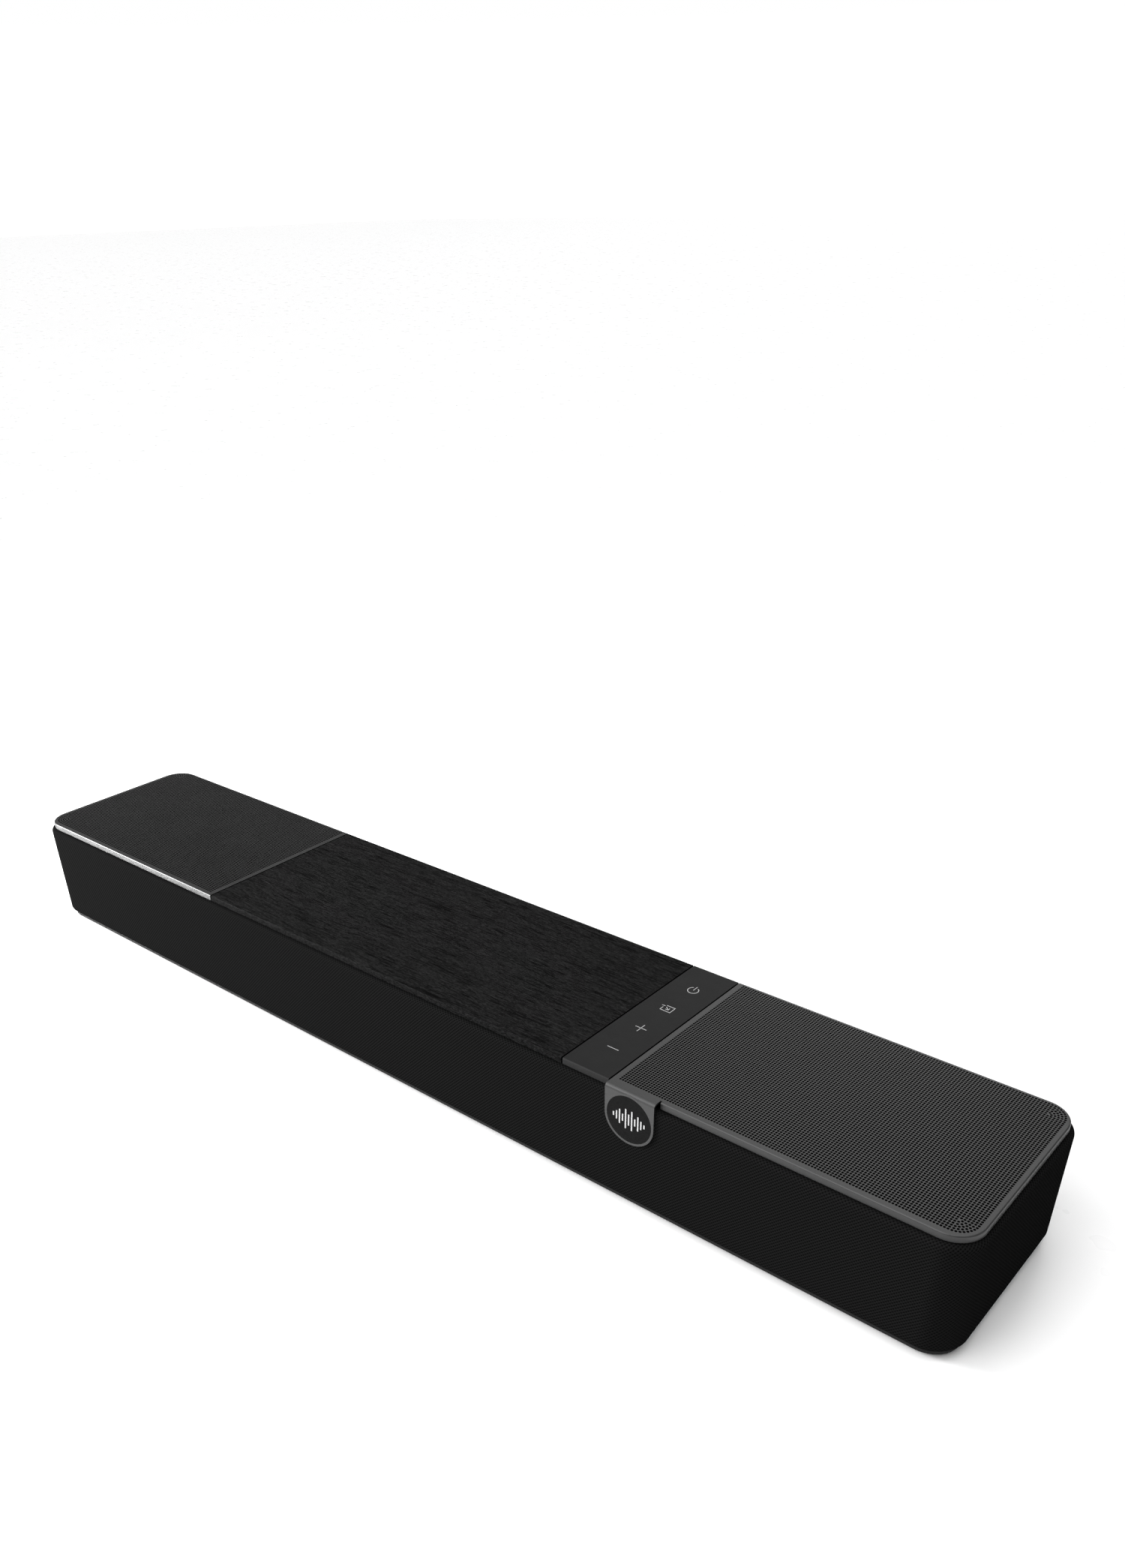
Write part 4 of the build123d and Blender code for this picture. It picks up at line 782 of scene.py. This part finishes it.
def print_icons():
    """The four symbols on the control strip, each over the middle of its key."""
    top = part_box("control_strip")[1].z
    half = 3.6 * MM  # half the length of the strokes in the plus and the minus
    box_x, box_y, cut = 3.2 * MM, 2.6 * MM, 1.0 * MM  # half sizes of the input's box, and its open corner
    tip = 0.9 * MM  # half the size of the input's arrow head
    level = [(-half, 0), (half, 0)]
    icons = {
        "key_power": [
            arc(0, 0, 3.1 * MM, 118, 422, 44),
            [(0, 0.1 * MM), (0, 4.3 * MM)],
        ],
        "key_input": [
            [(-box_x, 0.4 * MM), (-box_x, -box_y), (box_x, -box_y), (box_x, box_y), (-box_x + cut, box_y)],
            [(-box_x - 1.6 * MM, 1.7 * MM), (-box_x + 0.6 * MM, 1.7 * MM)],
            [(-1.5 * MM, 1.2 * MM), (0.7 * MM, -0.7 * MM)],
            [(-tip, -tip), (tip, -tip), (tip, tip)],
        ],
        "key_volume_up": [level, [(0, -half), (0, half)]],
        "key_volume_down": [level],
    }
    for key, lines in icons.items():
        low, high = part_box(key)
        x, y = (low.x + high.x) / 2, (low.y + high.y) / 2

        def place(dx, dy, dz, x=x, y=y):
            return (x + dx, y + dy, top + dz)

        strokes = [(points, ICON_STROKE) for points in lines]
        print_mark(key.replace("key", "icon"), strokes, place, icon_ink)


def print_badge():
    """A plain row of upright bars on the badge's face, with heights that mirror about the middle."""
    low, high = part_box("badge_disc")
    x, z = (low.x + high.x) / 2, (low.z + high.z) / 2

    def place(dx, dz, out):
        return (x + dx, low.y - out, z + dz)

    bars = []
    for k, half in enumerate(BAR_HALVES):
        across = (k - len(BAR_HALVES) // 2) * BAR_PITCH * MM
        bars.append(([(across, -half * MM), (across, half * MM)], BAR_WIDTH * MM))
    print_mark("badge_bars", bars, place, badge_ink)


# Studio ---------------------------------------------------------------------------------------------
def add_light(name, kind, power, towards, place=(0, 0, 0), **settings):
    data = bpy.data.lights.new(name, kind)
    data.energy = power
    for setting, value in settings.items():
        setattr(data, setting, value)
    lamp = bpy.data.objects.new(name, data)
    bpy.context.scene.collection.objects.link(lamp)
    lamp.location = place
    lamp.rotation_mode = "QUATERNION"
    lamp.rotation_quaternion = Vector(towards).to_track_quat("-Z", "Y")
    lamp.visible_camera = False


def make_studio():
    """Pale seamless floor, a large soft light over the front, one behind and a softbox at the left end.

    The sky lights the bar with a glow at the horizon and one overhead, and is plain white to the camera.
    """
    floor_mesh = bpy.data.meshes.new("floor")
    corners = [(x * FLOOR_HALF, y * FLOOR_HALF, 0) for x, y in ((-1, -1), (1, -1), (1, 1), (-1, 1))]
    floor_mesh.from_pydata(corners, [], [(0, 1, 2, 3)])
    floor = bpy.data.objects.new("floor", floor_mesh)
    m = Material("pale_floor", Specular_IOR_Level=0.5)
    m.use(
        Base_Color=m.mix(m.noise(0.4, 3), (0.9, 0.9, 0.9), (0.93, 0.93, 0.93)),
        Roughness=m.spread(m.noise(0.05, 3), 0.3, 0.7, 0.27, 0.31),
    )
    floor_mesh.materials.append(m.made)
    bpy.context.scene.collection.objects.link(floor)

    world = bpy.data.worlds.new("studio")
    bpy.context.scene.world = world
    world.use_nodes = True
    tree = world.node_tree
    way = tree.nodes.new("ShaderNodeTexCoord")
    parts = tree.nodes.new("ShaderNodeSeparateXYZ")
    total = tree.nodes.new("ShaderNodeMath")
    tree.links.new(way.outputs["Generated"], parts.inputs[0])
    for k, band in enumerate((HORIZON_GLOW, OVERHEAD_GLOW)):
        level = tree.nodes.new("ShaderNodeMapRange")
        for socket, value in zip((1, 2, 3, 4), band):
            level.inputs[socket].default_value = value
        tree.links.new(parts.outputs["Z"], level.inputs["Value"])
        tree.links.new(level.outputs[0], total.inputs[k])
    backdrop = tree.nodes.new("ShaderNodeLightPath").outputs["Is Camera Ray"]
    brighter = tree.nodes.new("ShaderNodeMath")
    brighter.operation = "MAXIMUM"
    tree.links.new(total.outputs[0], brighter.inputs[0])
    tree.links.new(backdrop, brighter.inputs[1])
    tree.links.new(brighter.outputs[0], tree.nodes["Background"].inputs["Strength"])
    tree.nodes["Background"].inputs["Color"].default_value = (1, 1, 1, 1)

    add_light("front_softbox", "SUN", 1.6, (0.3, 0.66, -0.69), angle=math.radians(50))
    add_light("rear_softbox", "SUN", 0.3, (0.3, -0.75, -0.58), angle=math.radians(30))
    add_light("left_softbox", "AREA", 33.0, (0.8, 0.44, -0.36), (-1.1, -0.59, 0.41),
              shape="RECTANGLE", size=0.42, size_y=0.34)
    view = bpy.context.scene.view_settings
    view.view_transform, view.look = "Standard", "None"


make_camera()
# The finishes come first, because the suspension rings copy their nodes' meshes as they are by then
for name, node in nodes.items():
    if name not in ("left_top_grille", "right_top_grille", "grille_fabric"):
        node.data.materials.clear()
        node.data.materials.append(finish_of(name))
for side_name, spec in GRILLES.items():
    perforated_grille(side_name, spec)
cloth_wrap()
for side_name in ("left", "right"):
    for part, spec in SUSPENSIONS.items():
        driver = part.rsplit("_", 1)[0]
        flexible_ring(f"{side_name}_{part}", f"{side_name}_{driver}_cone", spec)
print_icons()
print_badge()
make_studio()
